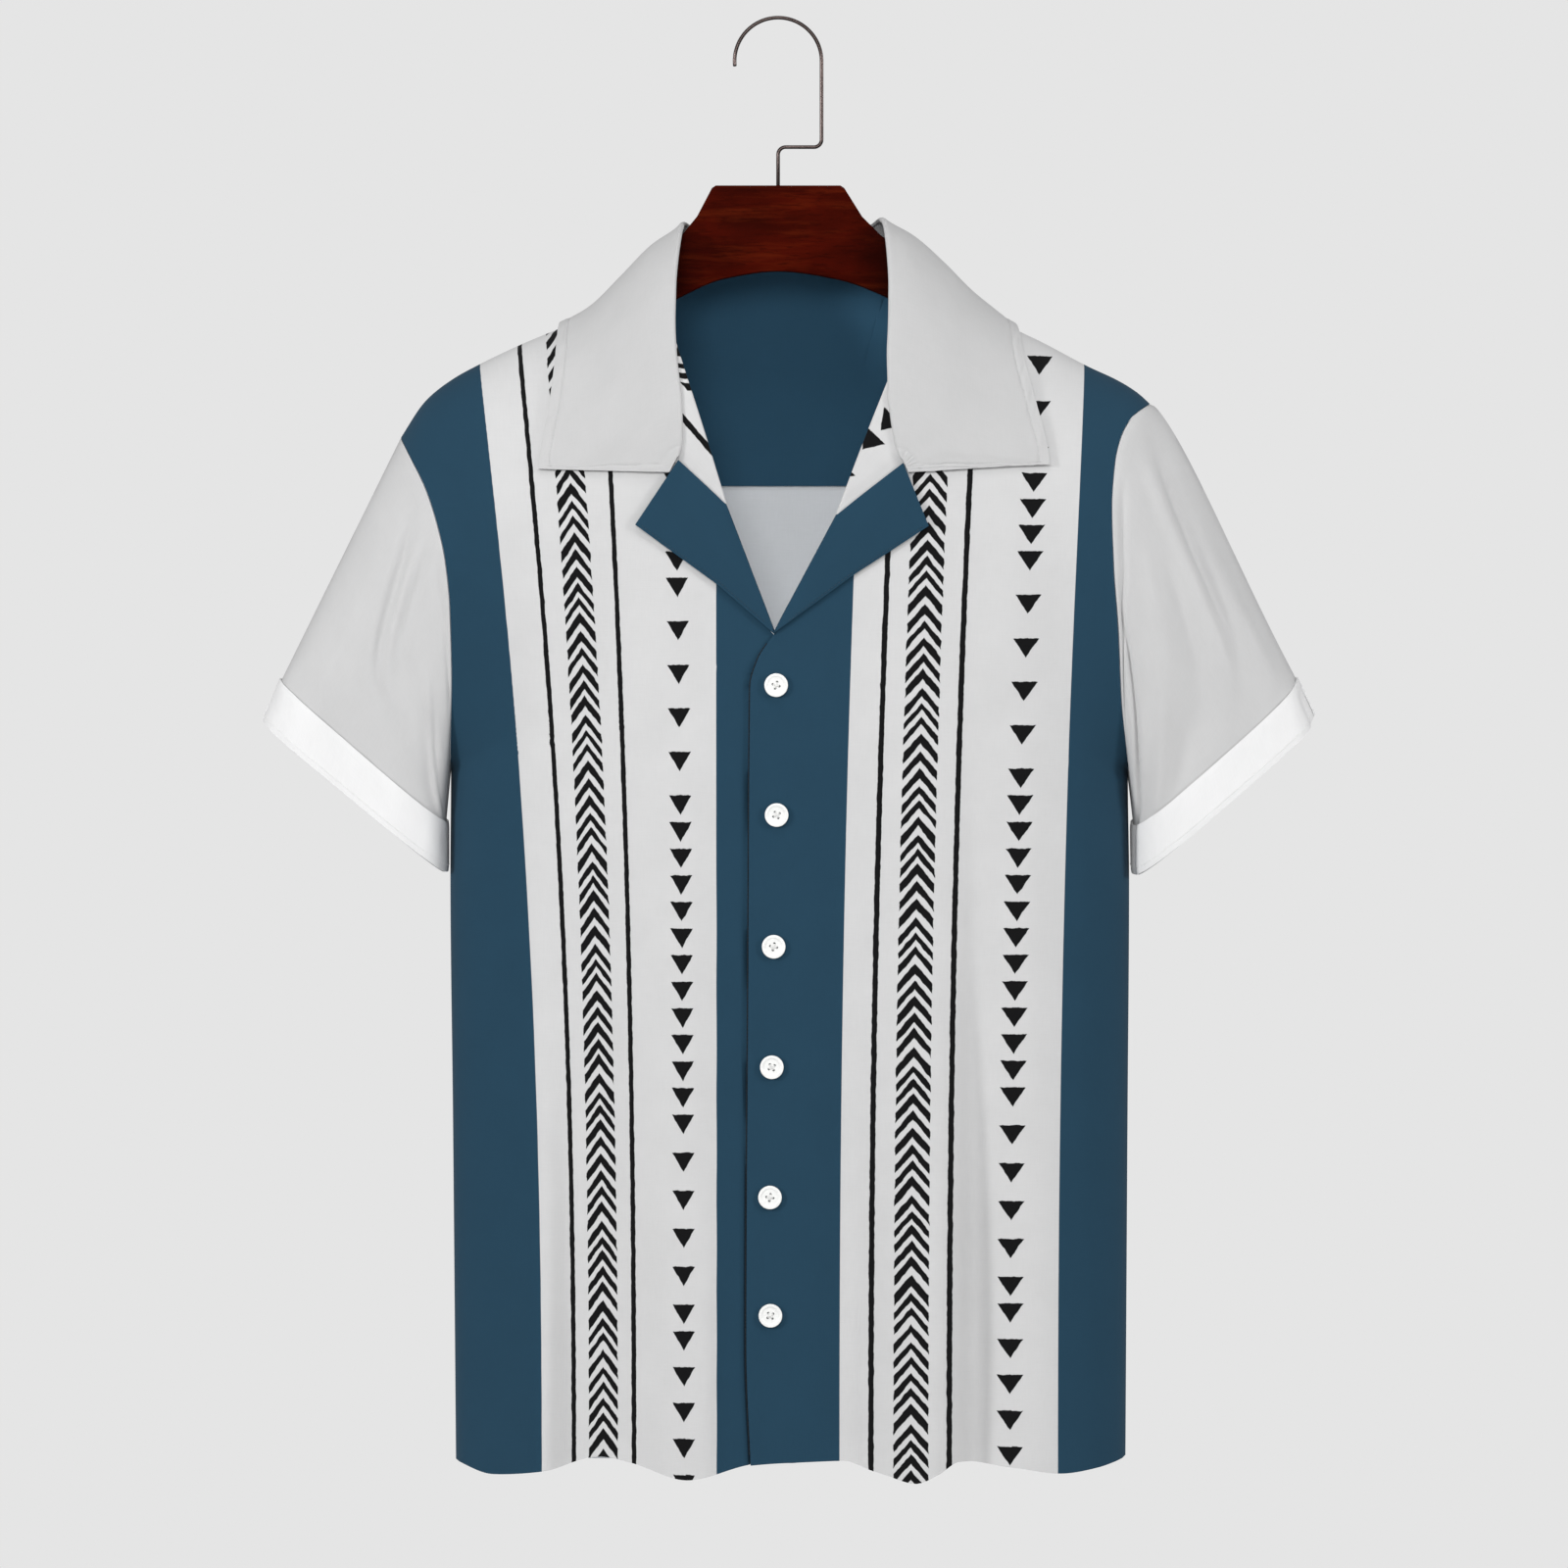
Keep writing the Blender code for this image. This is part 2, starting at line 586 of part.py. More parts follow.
def collar_stand():
    stations = collar_stations()
    last = len(stations) - 1
    places, values = collar_columns(stations, STAND_END, last - STAND_END)
    neck = []
    ridge_at = len(FRONT_STATIONS_LEFT)
    for place, (side, turn, *_rest) in zip(places, values):
        x, _, z = skin(side, turn)
        if place < ridge_at:
            line = path(NECK_LEFT)(np.linspace(0, 0.35, 60))
            neck.append(on_body(line[np.argmin(np.abs(line[:, 1] - min(z, -150.5)))]))
        elif place > last - ridge_at:
            line = path(NECK_RIGHT)(np.linspace(0, 0.4, 60))
            neck.append(on_body(line[np.argmin(np.abs(line[:, 1] - min(z, -145.5)))]))
        else:
            share = (place - ridge_at) / (last - 2 * ridge_at)
            neck.append(on_body(path(NECK_BACK)(np.array(share)), True))
    neck = np.array(neck)
    foot = skin(neck[:, 0], neck[:, 1])
    top = skin(values[:, 0], values[:, 1]) + skin_normals(values[:, 0], values[:, 1]) * (values[:, 2] - STAND_TUCK)[:, None]
    rise = top - foot
    rise /= np.linalg.norm(rise, axis=-1, keepdims=True)
    foot = foot + rise * (CLOTH / 2 + SEAM)
    v = np.linspace(0, 1, 4)[:, None, None]
    points = foot + (top - foot) * v
    shell("collar_stand", points, grid_normals(points), CLOTH)


def armhole_ring(spec, count):
    """The armhole from the shoulder tip down the front and up the back, as the sleeve's start."""
    share = np.linspace(0, 1, count // 2 + 1)
    line = path(armhole_line(spec["armhole"]))(share)
    front_half = skin(*on_body(line).T)
    back_half = skin(*on_body(line, True).T)
    ring = np.concatenate([front_half, back_half[-2:0:-1]])
    high = np.concatenate([share, share[-2:0:-1]])
    away = np.stack([spec["out"] * (0.45 + 0.55 * high), np.zeros(len(ring)), -0.89 * (1 - high) - 0.05], -1)
    away /= np.linalg.norm(away, axis=-1, keepdims=True)
    return ring + away * (SLEEVE_START + CLOTH * 0.5 * high)[:, None]


def oval_ring(ends, count, sag):
    outer, inner = (np.array([x, 0.0, z]) for x, z in ends)
    angle = np.linspace(0, 2 * math.pi, count, endpoint=False)[:, None]
    across, forward = (np.sign(w) * np.abs(w) ** (2 / SLEEVE_ROUNDNESS) for w in (np.cos(angle), np.sin(angle)))
    depth = np.array([0, -SLEEVE_HALF_DEPTH, 0])
    ring = (outer + inner) / 2 + (outer - inner) / 2 * across + depth * forward
    ring[:, 2] -= sag * np.maximum(forward[:, 0], 0)
    return ring


def sleeve(name, spec):
    start = armhole_ring(spec, SLEEVE_COLUMNS)
    seam = oval_ring(spec["seam"], SLEEVE_COLUMNS, spec["sag"])
    end = oval_ring(spec["end"], SLEEVE_COLUMNS, spec["sag"])
    down = np.linspace(0, 1, SLEEVE_ROWS + 1)[:, None, None]
    points = start + (seam - start) * down
    angle = np.linspace(0, 2 * math.pi, SLEEVE_COLUMNS, endpoint=False)
    crown = np.cos(angle / 2) ** 4
    push = spec["bulge"] * np.sqrt(down[:, 0]) * (1 - down[:, 0]) ** 2 * crown
    points = points + push[..., None] * np.array([spec["out"] * 0.88, 0, 0.48])
    below = np.linspace(0, 1, CUFF_ROWS + 1)[1:, None, None]
    points = np.concatenate([points, seam + (end - seam) * below])
    normals = grid_normals(points, True)
    middle = points.mean(axis=1, keepdims=True)
    if ((points - middle) * normals).sum() < 0:
        normals = -normals
    shell("sleeve_" + name, points, normals, CLOTH, True)
    band = points[SLEEVE_ROWS:] + normals[SLEEVE_ROWS:] * (LAYER + 0.05)
    shell("cuff_" + name, band, normals[SLEEVE_ROWS:], CLOTH, True)


def lathe(name, profile, sides):
    """A solid of revolution about +Z from a profile of (radius, height) that starts and ends on the axis."""
    corners, faces = [(0, 0, profile[0][1])], []
    for radius, height in profile[1:-1]:
        for k in range(sides):
            angle = 2 * math.pi * k / sides
            corners.append((radius * math.cos(angle), radius * math.sin(angle), height))
    corners.append((0, 0, profile[-1][1]))
    rings = len(profile) - 2
    for k in range(sides):
        after = (k + 1) % sides
        faces.append((0, 1 + after, 1 + k))
        faces.append((len(corners) - 1, 1 + (rings - 1) * sides + k, 1 + (rings - 1) * sides + after))
        for ring in range(rings - 1):
            low, high = 1 + ring * sides, 1 + (ring + 1) * sides
            faces.append((low + k, low + after, high + after, high + k))
    return make(name, corners, faces)


def buttons():
    blank = lathe("button_blank", BUTTON_PROFILE, BUTTON_SIDES)
    for sx in (-1, 1):
        for sy in (-1, 1):
            drill = lathe("drill", ((0, -3), (BUTTON_HOLE_RADIUS, -3), (BUTTON_HOLE_RADIUS, 6), (0, 6)), 6)
            drill.location = (sx * BUTTON_HOLE_PITCH / 2 * MM, sy * BUTTON_HOLE_PITCH / 2 * MM, 0)
            drill.hide_render = True
            drill.hide_set(True)
            cut = blank.modifiers.new("hole", "BOOLEAN")
            cut.object, cut.operation, cut.solver = drill, "DIFFERENCE", "EXACT"
    bpy.context.view_layer.update()
    drilled = bpy.data.meshes.new_from_object(blank.evaluated_get(bpy.context.evaluated_depsgraph_get()))
    drilled.name = "button"
    for helper in [thing for thing in bpy.data.objects if thing.name.startswith(("drill", "button_blank"))]:
        bpy.data.objects.remove(helper)
    corners = np.array([vertex.co for vertex in drilled.vertices])
    for number, place in enumerate(BUTTONS, 1):
        side, turn = on_body(place)
        normal = skin_normals(side, turn)
        across = np.cross((0, 0, 1), normal)
        across /= np.linalg.norm(across)
        up = np.cross(normal, across)
        lift = LAYER + CLOTH / 2 + BUTTON_GAP
        foot = (skin(side, turn) + normal * lift) * MM
        mesh = drilled.copy()
        mesh.vertices.foreach_set("co", (corners @ np.stack([across, up, normal]) + foot).ravel())
        thing = bpy.data.objects.new(f"button_{number}", mesh)
        bpy.context.scene.collection.objects.link(thing)
    bpy.data.meshes.remove(drilled)


def hanger():
    top, foot = np.array(HANGER_TOP, float), np.array(HANGER_FOOT, float)
    xs = np.unique(np.concatenate([top[:, 0], np.linspace(-34, 34, 7)]))
    tops = np.interp(xs, *top.T)
    feet = curve(foot)(xs)
    angle = np.linspace(0, 2 * math.pi, HANGER_SIDES, endpoint=False)
    squared = 0.5
    across = np.sign(np.cos(angle)) * np.abs(np.cos(angle)) ** squared * HANGER_HALF_DEPTH
    height = np.sign(np.sin(angle)) * np.abs(np.sin(angle)) ** squared
    corners = []
    for x, z_top, z_foot in zip(xs, tops, feet):
        for y, share in zip(across, height):
            corners.append((x, y, (z_top + z_foot) / 2 + (z_top - z_foot) / 2 * share))
    faces = []
    for i in range(len(xs) - 1):
        for k in range(HANGER_SIDES):
            after = (k + 1) % HANGER_SIDES
            faces.append((i * HANGER_SIDES + k, i * HANGER_SIDES + after, (i + 1) * HANGER_SIDES + after, (i + 1) * HANGER_SIDES + k))
    faces.append(tuple(reversed(range(HANGER_SIDES))))
    faces.append(tuple((len(xs) - 1) * HANGER_SIDES + k for k in range(HANGER_SIDES)))
    make("hanger", corners, faces)


def hook():
    """A wire: down from the tip's free end over the top, down the leg, in along the foot and down to the wood."""
    centre = -HOOK_RADIUS + WIRE_RADIUS
    line = []
    for angle in np.linspace(math.radians(HOOK_TIP_ANGLE), 0, 19):
        line.append((HOOK_RADIUS * math.cos(angle), centre + HOOK_RADIUS * math.sin(angle)))
    leg, low = HOOK_RADIUS, HOOK_LEG_FOOT
    for angle in np.linspace(0, -math.pi / 2, 5):
        line.append((leg - HOOK_BEND + HOOK_BEND * math.cos(angle), low + HOOK_BEND + HOOK_BEND * math.sin(angle)))
    for angle in np.linspace(math.pi / 2, math.pi, 5):
        line.append((HOOK_BEND + HOOK_BEND * math.cos(angle), low - HOOK_BEND + HOOK_BEND * math.sin(angle)))
    line.append((0, HANGER_TOP[12][1] + SEAM))
    data = bpy.data.curves.new("hook", "CURVE")
    data.dimensions = "3D"
    data.bevel_depth, data.bevel_resolution, data.use_fill_caps = WIRE_RADIUS * MM, 3, True
    spline = data.splines.new("POLY")
    spline.points.add(len(line) - 1)
    for point, (x, z) in zip(spline.points, line):
        point.co = (x * MM, 0, z * MM, 1)
    bpy.context.scene.collection.objects.link(bpy.data.objects.new("hook", data))


def main():
    for thing in list(bpy.data.objects):
        bpy.data.objects.remove(thing)
    front("front_left", -1, ARMHOLE_LEFT, NECK_LEFT, UNDER_EDGE, HEM_LEFT)
    front("front_right", 1, ARMHOLE_RIGHT, NECK_RIGHT, LAP_EDGE, HEM_RIGHT, lap_lift)
    back()
    for name, spec in SLEEVES.items():
        sleeve(name, spec)
    lapel("lapel_left", LAPEL_LEFT)
    lapel("lapel_right", LAPEL_RIGHT, lap_lift)
    neck_facing("neck_facing_left", FACING_LEFT)
    neck_facing("neck_facing_right", FACING_RIGHT, lap_lift)
    collar()
    collar_stand()
    buttons()
    hanger()
    hook()


main()
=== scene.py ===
"""Looks of a short-sleeved printed camp-collar shirt on its wooden hanger.

Lengths in the tables are millimetres, as in the part's own source, and turn
into metres where a mesh is made. +X is the viewer's right, -Y is the front of
the shirt, +Z is up, and the origin is where the hanger's hook rests.

The body of the shirt is one surface, skin(side, turn): side runs round the
body from seam to seam and turn runs from the shoulder ridge (0) down the
front (+) or down the back (-). Whatever lies on the body is a patch of it,
lifted by a few millimetres along skin_normals.
"""

import math

import bpy
import numpy as np
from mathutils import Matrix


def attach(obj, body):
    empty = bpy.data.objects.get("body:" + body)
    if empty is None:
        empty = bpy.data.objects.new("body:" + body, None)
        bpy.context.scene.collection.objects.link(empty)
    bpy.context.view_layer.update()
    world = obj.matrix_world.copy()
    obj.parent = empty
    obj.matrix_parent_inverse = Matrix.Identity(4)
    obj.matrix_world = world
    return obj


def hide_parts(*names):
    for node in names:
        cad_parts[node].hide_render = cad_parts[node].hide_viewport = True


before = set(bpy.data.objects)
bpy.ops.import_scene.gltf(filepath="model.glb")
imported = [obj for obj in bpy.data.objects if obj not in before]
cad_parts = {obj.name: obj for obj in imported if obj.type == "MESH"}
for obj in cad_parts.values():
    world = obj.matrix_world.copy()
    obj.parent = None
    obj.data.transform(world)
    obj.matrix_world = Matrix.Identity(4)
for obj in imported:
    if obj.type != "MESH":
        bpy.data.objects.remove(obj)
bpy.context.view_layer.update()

MM = 0.001
CLOTH, COLLAR_CLOTH = 0.9, 1.5  # walls of one layer and of the doubled collar
LAYER = 1.3  # from one layer to the next that lies on it

# ---- the body of the shirt, close to the part's source ----
# lines as x and z, side seams as z and x, depths by the distance below the shoulders
SIDE_TOP = -231.0
CROWN = 140.0
ROUNDNESS = 2.4
UNDERARM = -482.0
ARM_REACH = 200.0
ARM_OPENING = 0.35
RIDGE = (
    (-244, -272), (-226, -245.2), (-209, -231.6), (-194, -223.2), (-165, -209.3),
    (-138, -198), (-127, -193), (-116, -186), (-97, -168.5), (-77, -150),
    (-60, -140), (-40, -118), (0, -95), (45, -118), (66, -136), (83, -145),
    (103, -161), (122, -178.5), (138, -190.5), (150, -198.3), (169, -207.6),
    (199, -223.4), (218, -232.3), (230.4, -240), (241, -249.5),
)
SIDE_LEFT = ((-926, -206.6), (-700, -208.6), (-548, -210.2), (-482, -209.8), (-200, -209.8))
SIDE_RIGHT = ((-926, 222.8), (-700, 224.2), (-548, 225.2), (-482, 224.4), (-200, 224.4))
FRONT_DEPTH = ((0, 70), (300, 70), (450, 66), (640, 58), (840, 52))
BACK_DEPTH = ((0, 50), (300, 50), (450, 48), (640, 44), (840, 42))
# large folds: x, width, height
FRONT_FOLDS = (
    (-170, 26, 8), (-122, 24, -8), (-62, 26, 9),
    (44, 16, -4), (84, 22, 9), (128, 18, -8), (178, 26, 6),
)
BACK_FOLDS = ((-150, 34, 8), (-60, 36, -6), (30, 34, 8), (140, 36, 7))
FOLD_START, FOLD_END = 180.0, 760.0
# slight drape between the large folds: x, width, height, z of its middle, length
FRONT_DRAPE = (
    (-154, 12, 2.0, -860, 230), (-132, 9, -2.0, -860, 230), (-158, 12, 1.8, -560, 170),
    (-84, 16, 1.6, -640, 160), (98, 12, 2.0, -820, 260), (124, 9, -2.4, -850, 200),
    (160, 14, 2.2, -600, 200), (60, 14, 1.2, -500, 160), (-60, 14, 1.0, -560, 160),
    (196, 9, 1.8, -620, 200), (-194, 8, 1.8, -620, 200), (-190, 10, 1.8, -330, 60),
    (200, 10, 1.6, -320, 60), (-150, 10, 1.0, -330, 70), (150, 10, 1.0, -330, 70),
    (54, 7, -1.8, -905, 90), (-46, 8, 1.6, -890, 120), (-196, 7, -1.6, -880, 140),
    (203, 7, 1.8, -860, 160), (-118, 7, -1.2, -420, 120),
)
# steep folds: x of the ridge, its width to the left and right, height, z of its middle, length
FRONT_PLEATS = ((113, 24, 9, 13, -830, 230), (-149, 20, 11, 13, -900, 190))
BACK_DRAPE = (
    (-120, 20, 2.0, -560, 220), (-40, 24, -1.8, -620, 240), (50, 20, 2.2, -560, 220),
    (120, 22, -1.8, -640, 200), (0, 16, 1.2, -420, 160),
)

ARMHOLE_LEFT = (
    (-242, -269), (-234, -284), (-225, -302), (-217.5, -324), (-211.8, -349),
    (-208.8, -380), (-208, -421), (-209.2, -460), (-209.8, UNDERARM),
)
ARMHOLE_RIGHT = (
    (238.6, -247.4), (226.5, -256.5), (218.6, -270.3), (214.6, -287), (212.4, -316),
    (213.6, -355), (216.4, -391), (218.8, -436), (222.5, -468), (224.4, UNDERARM),
)
NECK_LEFT = ((-77, -150), (-73, -165), (-70, -180), (-67.5, -205), (-33.6, -312), (-4.5, -394.5))
NECK_RIGHT = (
    (83, -145), (79, -165), (76, -190), (73, -215), (70.5, -234), (37.7, -319), (-1.8, -395),
)
NECK_BACK = ((-77, -150), (-60, -158), (-35, -160), (0, -159), (38, -160), (64, -157), (83, -145))
UNDER_EDGE = ((-4.5, -394.5), (6, -408), (13, -430), (13, -600), (13, -921))
LAP_EDGE = (
    (-1.8, -395), (-13, -412.5), (-17.7, -430), (-19, -620), (-20.4, -850), (-17.6, -925.5),
)
# the upper front's lift: where it blends into one layer, how much its edge is raised and where
LAP_BLEND, LAP_RAISE, LAP_RAISED = (20.0, 50.0), 0.9, (-19.0, -9.0)
# the under front's dip beside that edge: how far from it, width, depth, and where it starts
LAP_CREASE_AT, LAP_CREASE_WIDTH, LAP_CREASE, LAP_CREASE_START = -0.1, 0.9, -2.8, (398.0, 408.0)
HEM_LEFT = (
    (13, -921), (-17.8, -925), (-58, -934.4), (-93, -924), (-113, -920.5),
    (-150, -929.5), (-182, -932.4), (-206.6, -925),
)
HEM_RIGHT = (
    (-17.6, -925.5), (40, -922), (60, -928), (85, -935.2), (100, -929), (113, -921),
    (146, -926), (180, -930.5), (202, -928), (222.8, -922.5),
)
HEM_BACK = ((-206.6, -925), (-60, -929), (60, -926), (222.8, -922.5))

LAPEL_LEFT = {
    "roll": ((-33.9, -313), (-2.2, -396.2)),
    "top": ((-63.2, -285.6), (-90.6, -326.6)),
    "outer": ((-2.2, -396.2), (-38.9, -364.2), (-90.6, -326.6)),
}
LAPEL_RIGHT = {
    "roll": ((37.9, -320), (-1.7, -394.8)),
    "top": ((79.4, -287.4), (95.6, -327.4)),
    "outer": ((-1.7, -394.8), (48, -358.4), (95.6, -327.4)),
}
FACING_LEFT = {"roll": ((-67.3, -206), (-33.4, -313.6)), "tuck": ((-72, -204), (-69.5, -284))}
FACING_RIGHT = {"roll": ((70.2, -235.5), (37.4, -320.6)), "tuck": ((77, -228), (83.2, -286))}
LAPEL_LIFT, LAPEL_ROLL, LAPEL_EDGE = 2.2, 1.4, 0.9
FACING_LIFT, FACING_TUCK = 2.0, 0.9
FLAP_ROLL, COLLAR_ROLL = 1.0, 1.1  # radii of edges that roll in

# stations of the collar: x, z and lift of its fold, the same of its edge, columns to the next
COLLAR_STATIONS = (
    (-63.8, -283.6, 4.2, -68.9, -293.2, 2.8, 12),
    (-62.0, -275.0, 4.2, -96.0, -292.8, 2.6, 12),
    (-62.0, -263.0, 4.4, -124.0, -292.2, 2.5, 12),
    (-62.5, -245.0, 4.6, -152.1, -291.5, 2.4, 18),
    (-66.0, -207.6, 5.0, -146.0, -254.4, 2.4, 18),
    (-65.5, -176.0, 5.5, -141.8, -223.0, 2.4, 18),
    # on the shoulder ridge and round the back, with the distance down from the ridge for z
    (-56.8, 0.0, 7.4, -138.0, 0.0, 3.2, 18),
    (-50.0, 9.0, 8.5, -104.0, 35.0, 3.0, 18),
    (-26.0, 29.0, 10.0, -57.0, 68.0, 3.0, 18),
    (2.0, 38.0, 10.0, 2.0, 105.0, 3.0, 18),
    (31.0, 29.0, 10.0, 63.0, 69.0, 3.0, 18),
    (56.0, 9.0, 8.5, 114.0, 36.0, 3.0, 18),
    (63.4, 0.0, 7.5, 150.0, 0.0, 3.0, 18),
    # in front again
    (71.0, -176.0, 5.5, 156.5, -221.0, 2.4, 18),
    (70.5, -212.0, 5.0, 164.0, -250.0, 2.4, 18),
    (71.0, -246.0, 4.6, 172.7, -288.7, 2.4, 12),
    (73.4, -263.0, 4.4, 138.0, -290.2, 2.5, 12),
    (76.0, -276.0, 4.2, 108.0, -292.0, 2.6, 12),
    (78.8, -285.0, 4.2, 82.6, -293.2, 2.8, 0),
)
RIDGE_STATION = 6
STAND_END, STAND_TUCK = 4.9, 1.6  # the station where the stand ends, and how far under the fold
YOKE_BOTTOM = -298.3
YOKE_LIFT = -1.4

SLEEVES = {
    "left": {
        "armhole": ARMHOLE_LEFT, "out": -1,
        "seam": ((-318.4, -424.0), (-213.8, -515.0)),
        "end": ((-329.6, -451.0), (-213.8, -547.0)),
        "bulge": 0.0, "sag": 3.0,
    },
    "right": {
        "armhole": ARMHOLE_RIGHT, "out": 1,
        "seam": ((332.2, -423.2), (228.6, -515.3)),
        "end": ((343.8, -448.0), (228.8, -547.0)),
        "bulge": 18.0, "sag": 8.0,
    },
}
SLEEVE_HALF_DEPTH = 34.0
SLEEVE_ROUNDNESS = 3.3
SLEEVE_START = 0.5

BUTTONS = (
    (-1.2, -428.6), (-0.9, -511), (-2.8, -594.7), (-4.0, -671.4), (-5.2, -754.4), (-4.9, -829.8),
)
BUTTON_RADIUS = 7.5
# thickness, rim, depth of the dish, and how far the back stands off the cloth
BUTTON_THICK, BUTTON_RIM, BUTTON_DISH, BUTTON_SHANK = 2.2, 1.7, 0.6, 0.55
BUTTON_HOLE_RADIUS, BUTTON_HOLE_PITCH = 0.8, 3.0

HANGER_TOP = (
    (-214, -241.2), (-206, -234.2), (-194, -227.2), (-165, -212.8), (-138, -201.8), (-116, -190.2),
    (-97, -172.8), (-77, -153), (-64, -141.5), (-52, -126.8), (-42.5, -108.6), (-40, -107),
    (0, -107), (40, -107), (42.5, -108.6), (54, -127), (66, -139), (72, -143.6), (83, -149.5),
    (103, -164.4), (122, -181.6), (138, -193.6), (150, -201.2), (169, -210.4), (199, -226.2),
    (209, -231.2), (215, -235.6),
)
HANGER_FOOT = (
    (-214, -246), (-206, -249), (-190, -247), (-150, -229), (-110, -206), (-65.5, -179.8),
    (-34, -166.5), (0, -161.9), (38, -167), (73, -180.2), (112, -205), (150, -227.5), (192, -246),
    (207, -247), (215, -243),
)
HANGER_HALF_DEPTH, HANGER_EDGE = 6.0, 2.6
WIRE_RADIUS, HOOK_EDGE = 1.2, 0.6
HOOK_RADIUS, HOOK_BEND = 27.95, 4.8
HOOK_LEG_FOOT, HOOK_FOOT = -82.0, -109.0  # heights of the leg's bend and of the end in the wood
HOOK_TIP_ANGLE = 187.0

# ---- print: distances across the band and heights above the hem ----
PRINT_END = 140.7
PRINT_LINES, PRINT_LINE_HALF = (20.5, 70.3), 1.75
CHEVRON_MIDDLE, CHEVRON_HALF, CHEVRON_PITCH = 46.0, 11.0, 10.4
CHEVRON_SLOPE, CHEVRON_SHARE = 1.18, 0.56
# waves in the chevrons' spacing: size, length, start
CHEVRON_RHYTHM = ((0.05, 29.0, 0.4), (0.07, 47.0, 1.3), (0.06, 83.0, 2.1))
TRIANGLE_MIDDLE, TRIANGLE_HALF, TRIANGLE_TALL = 110.0, 8.4, 12.4
TRIANGLE_FIRST = 7.7
# the height from which triangles follow at a pitch
TRIANGLE_RHYTHM = (
    (-200.0, 22.9), (76.3, 16.9), (93.2, 24.2), (214.2, 16.9), (416.9, 27.7), (555.3, 16.6),
    (621.7, 29.5),
)
# figures of the print: the middle, and half of the width that keeps its shape
PRINT_FIGURES = ((0.0, 0.5), (20.5, 3.0), (46.0, 12.0), (70.3, 3.0), (110.0, 8.5), (140.7, 0.5))
# where those middles fall on a front, at its hem and at its shoulder, how wide its figures
# are, and how far its print is moved up
PRINT_LEFT = {
    "hem": (-150.5, -130.4, -111.3, -91.6, -59.8, -39.3),
    "top": (-194.3, -167.0, -140.0, -112.0, -67.5, -39.3),
    "width": 0.85, "up": 0.0,
}
PRINT_RIGHT = {
    "hem": (39.1, 59.4, 84.6, 108.7, 147.9, 178.5),
    "top": (55.0, 76.6, 101.4, 127.0, 168.6, 197.6),
    "width": 1.0, "up": 17.0,
}
PRINT_HEM_Z, PRINT_TOP_Z, PRINT_FLARE = -922.0, -200.0, 2.25
# on the neck facings: a point, the print's up, and its distance across and height there
FACING_PRINT_LEFT = ((-60.4, -258.8), (0.645, -0.764), (70.3, 100.0))
FACING_PRINT_RIGHT = ((72.0, -259.4), (0.69, 0.724), (110.0, 576.2))


def curve(table):
    """A smooth curve through the table's points that never overshoots them."""
    x, y = np.array(table, float).T
    step, slope = np.diff(x), np.diff(y) / np.diff(x)
    grade = np.concatenate([slope[:1], np.zeros(len(x) - 2), slope[-1:]])
    same = slope[1:] * slope[:-1] > 0
    grade[1:-1][same] = 2 * (slope[1:] * slope[:-1])[same] / (slope[1:] + slope[:-1])[same]

    def value(at):
        at = np.clip(at, x[0], x[-1])
        k = np.clip(np.searchsorted(x, at) - 1, 0, len(x) - 2)
        t = (at - x[k]) / step[k]
        return (
            (2 * t**3 - 3 * t**2 + 1) * y[k]
            + (t**3 - 2 * t**2 + t) * step[k] * grade[k]
            + (3 * t**2 - 2 * t**3) * y[k + 1]
            + (t**3 - t**2) * step[k] * grade[k + 1]
        )

    return value


def run_length(points, axis):
    """Distance along the rows (axis 0) or the columns (axis 1) of a grid, from its first."""
    step = np.linalg.norm(np.diff(points, axis=axis), axis=-1)
    start = np.zeros_like(np.take(step, [0], axis=axis))
    return np.concatenate([start, np.cumsum(step, axis=axis)], axis=axis)


def path(points, straight=False):
    """The line through the points as a function of its length, from 0 to 1."""
    points = np.array(points, float)
    run = run_length(points, 0)
    run /= run[-1]
    if straight:
        return lambda t: np.stack([np.interp(t, run, column) for column in points.T], -1)
    columns = [curve(np.stack([run, column], -1)) for column in points.T]
    return lambda t: np.stack([column(t) for column in columns], -1)


def joined(first, second, at):
    """Two paths end to end, the second starting where t is at."""

    def value(t):
        t = np.asarray(t, float)
        early = first(np.clip(t / at, 0, 1))
        late = second(np.clip((t - at) / (1 - at), 0, 1))
        return np.where((t < at)[..., None], early, late)

    return value


def ramp(value, low, high):
    """0 up to low, 1 from high, and smooth between the two."""
    t = np.clip((value - low) / (high - low), 0, 1)
    return t * t * (3 - 2 * t)


def hump(distance, width):
    """1 in its middle, falling off smoothly to both sides."""
    return np.exp(-((distance / width) ** 2))


def spans(*ends):
    """Places from 0 to 1, in spans that each end at a place and hold a number of places."""
    start, places = 0.0, [np.zeros(1)]
    for end, count in ends:
        places.append(np.linspace(start, end, count)[1:])
        start = end
    return np.concatenate(places)


def ripple(along, seed):
    """Uneven waves along a line, between about -1 and 1."""
    total = 0.0
    for k, (rate, size) in enumerate(((0.37, 1.0), (0.61, 0.8), (1.07, 0.6), (1.73, 0.35))):
        total = total + size * np.sin(rate * along + seed * (k + 1.7))
    return total / 2.0


ridge = curve(RIDGE)
side_left, side_right = curve(SIDE_LEFT), curve(SIDE_RIGHT)
front_depth, back_depth = curve(FRONT_DEPTH), curve(BACK_DEPTH)
RIDGE_TURN = 0.0015  # as near to the ridge as a piece comes
SEAM_SIDE = math.pi / 2 - 0.001  # and as near to the side seams


def drop_of(turn):
    """How far below the shoulder ridge a turn is."""
    turn = np.abs(turn)
    over = CROWN * (1 - np.cos(np.minimum(turn, math.pi / 2)))
    return over + CROWN * np.maximum(turn - math.pi / 2, 0)


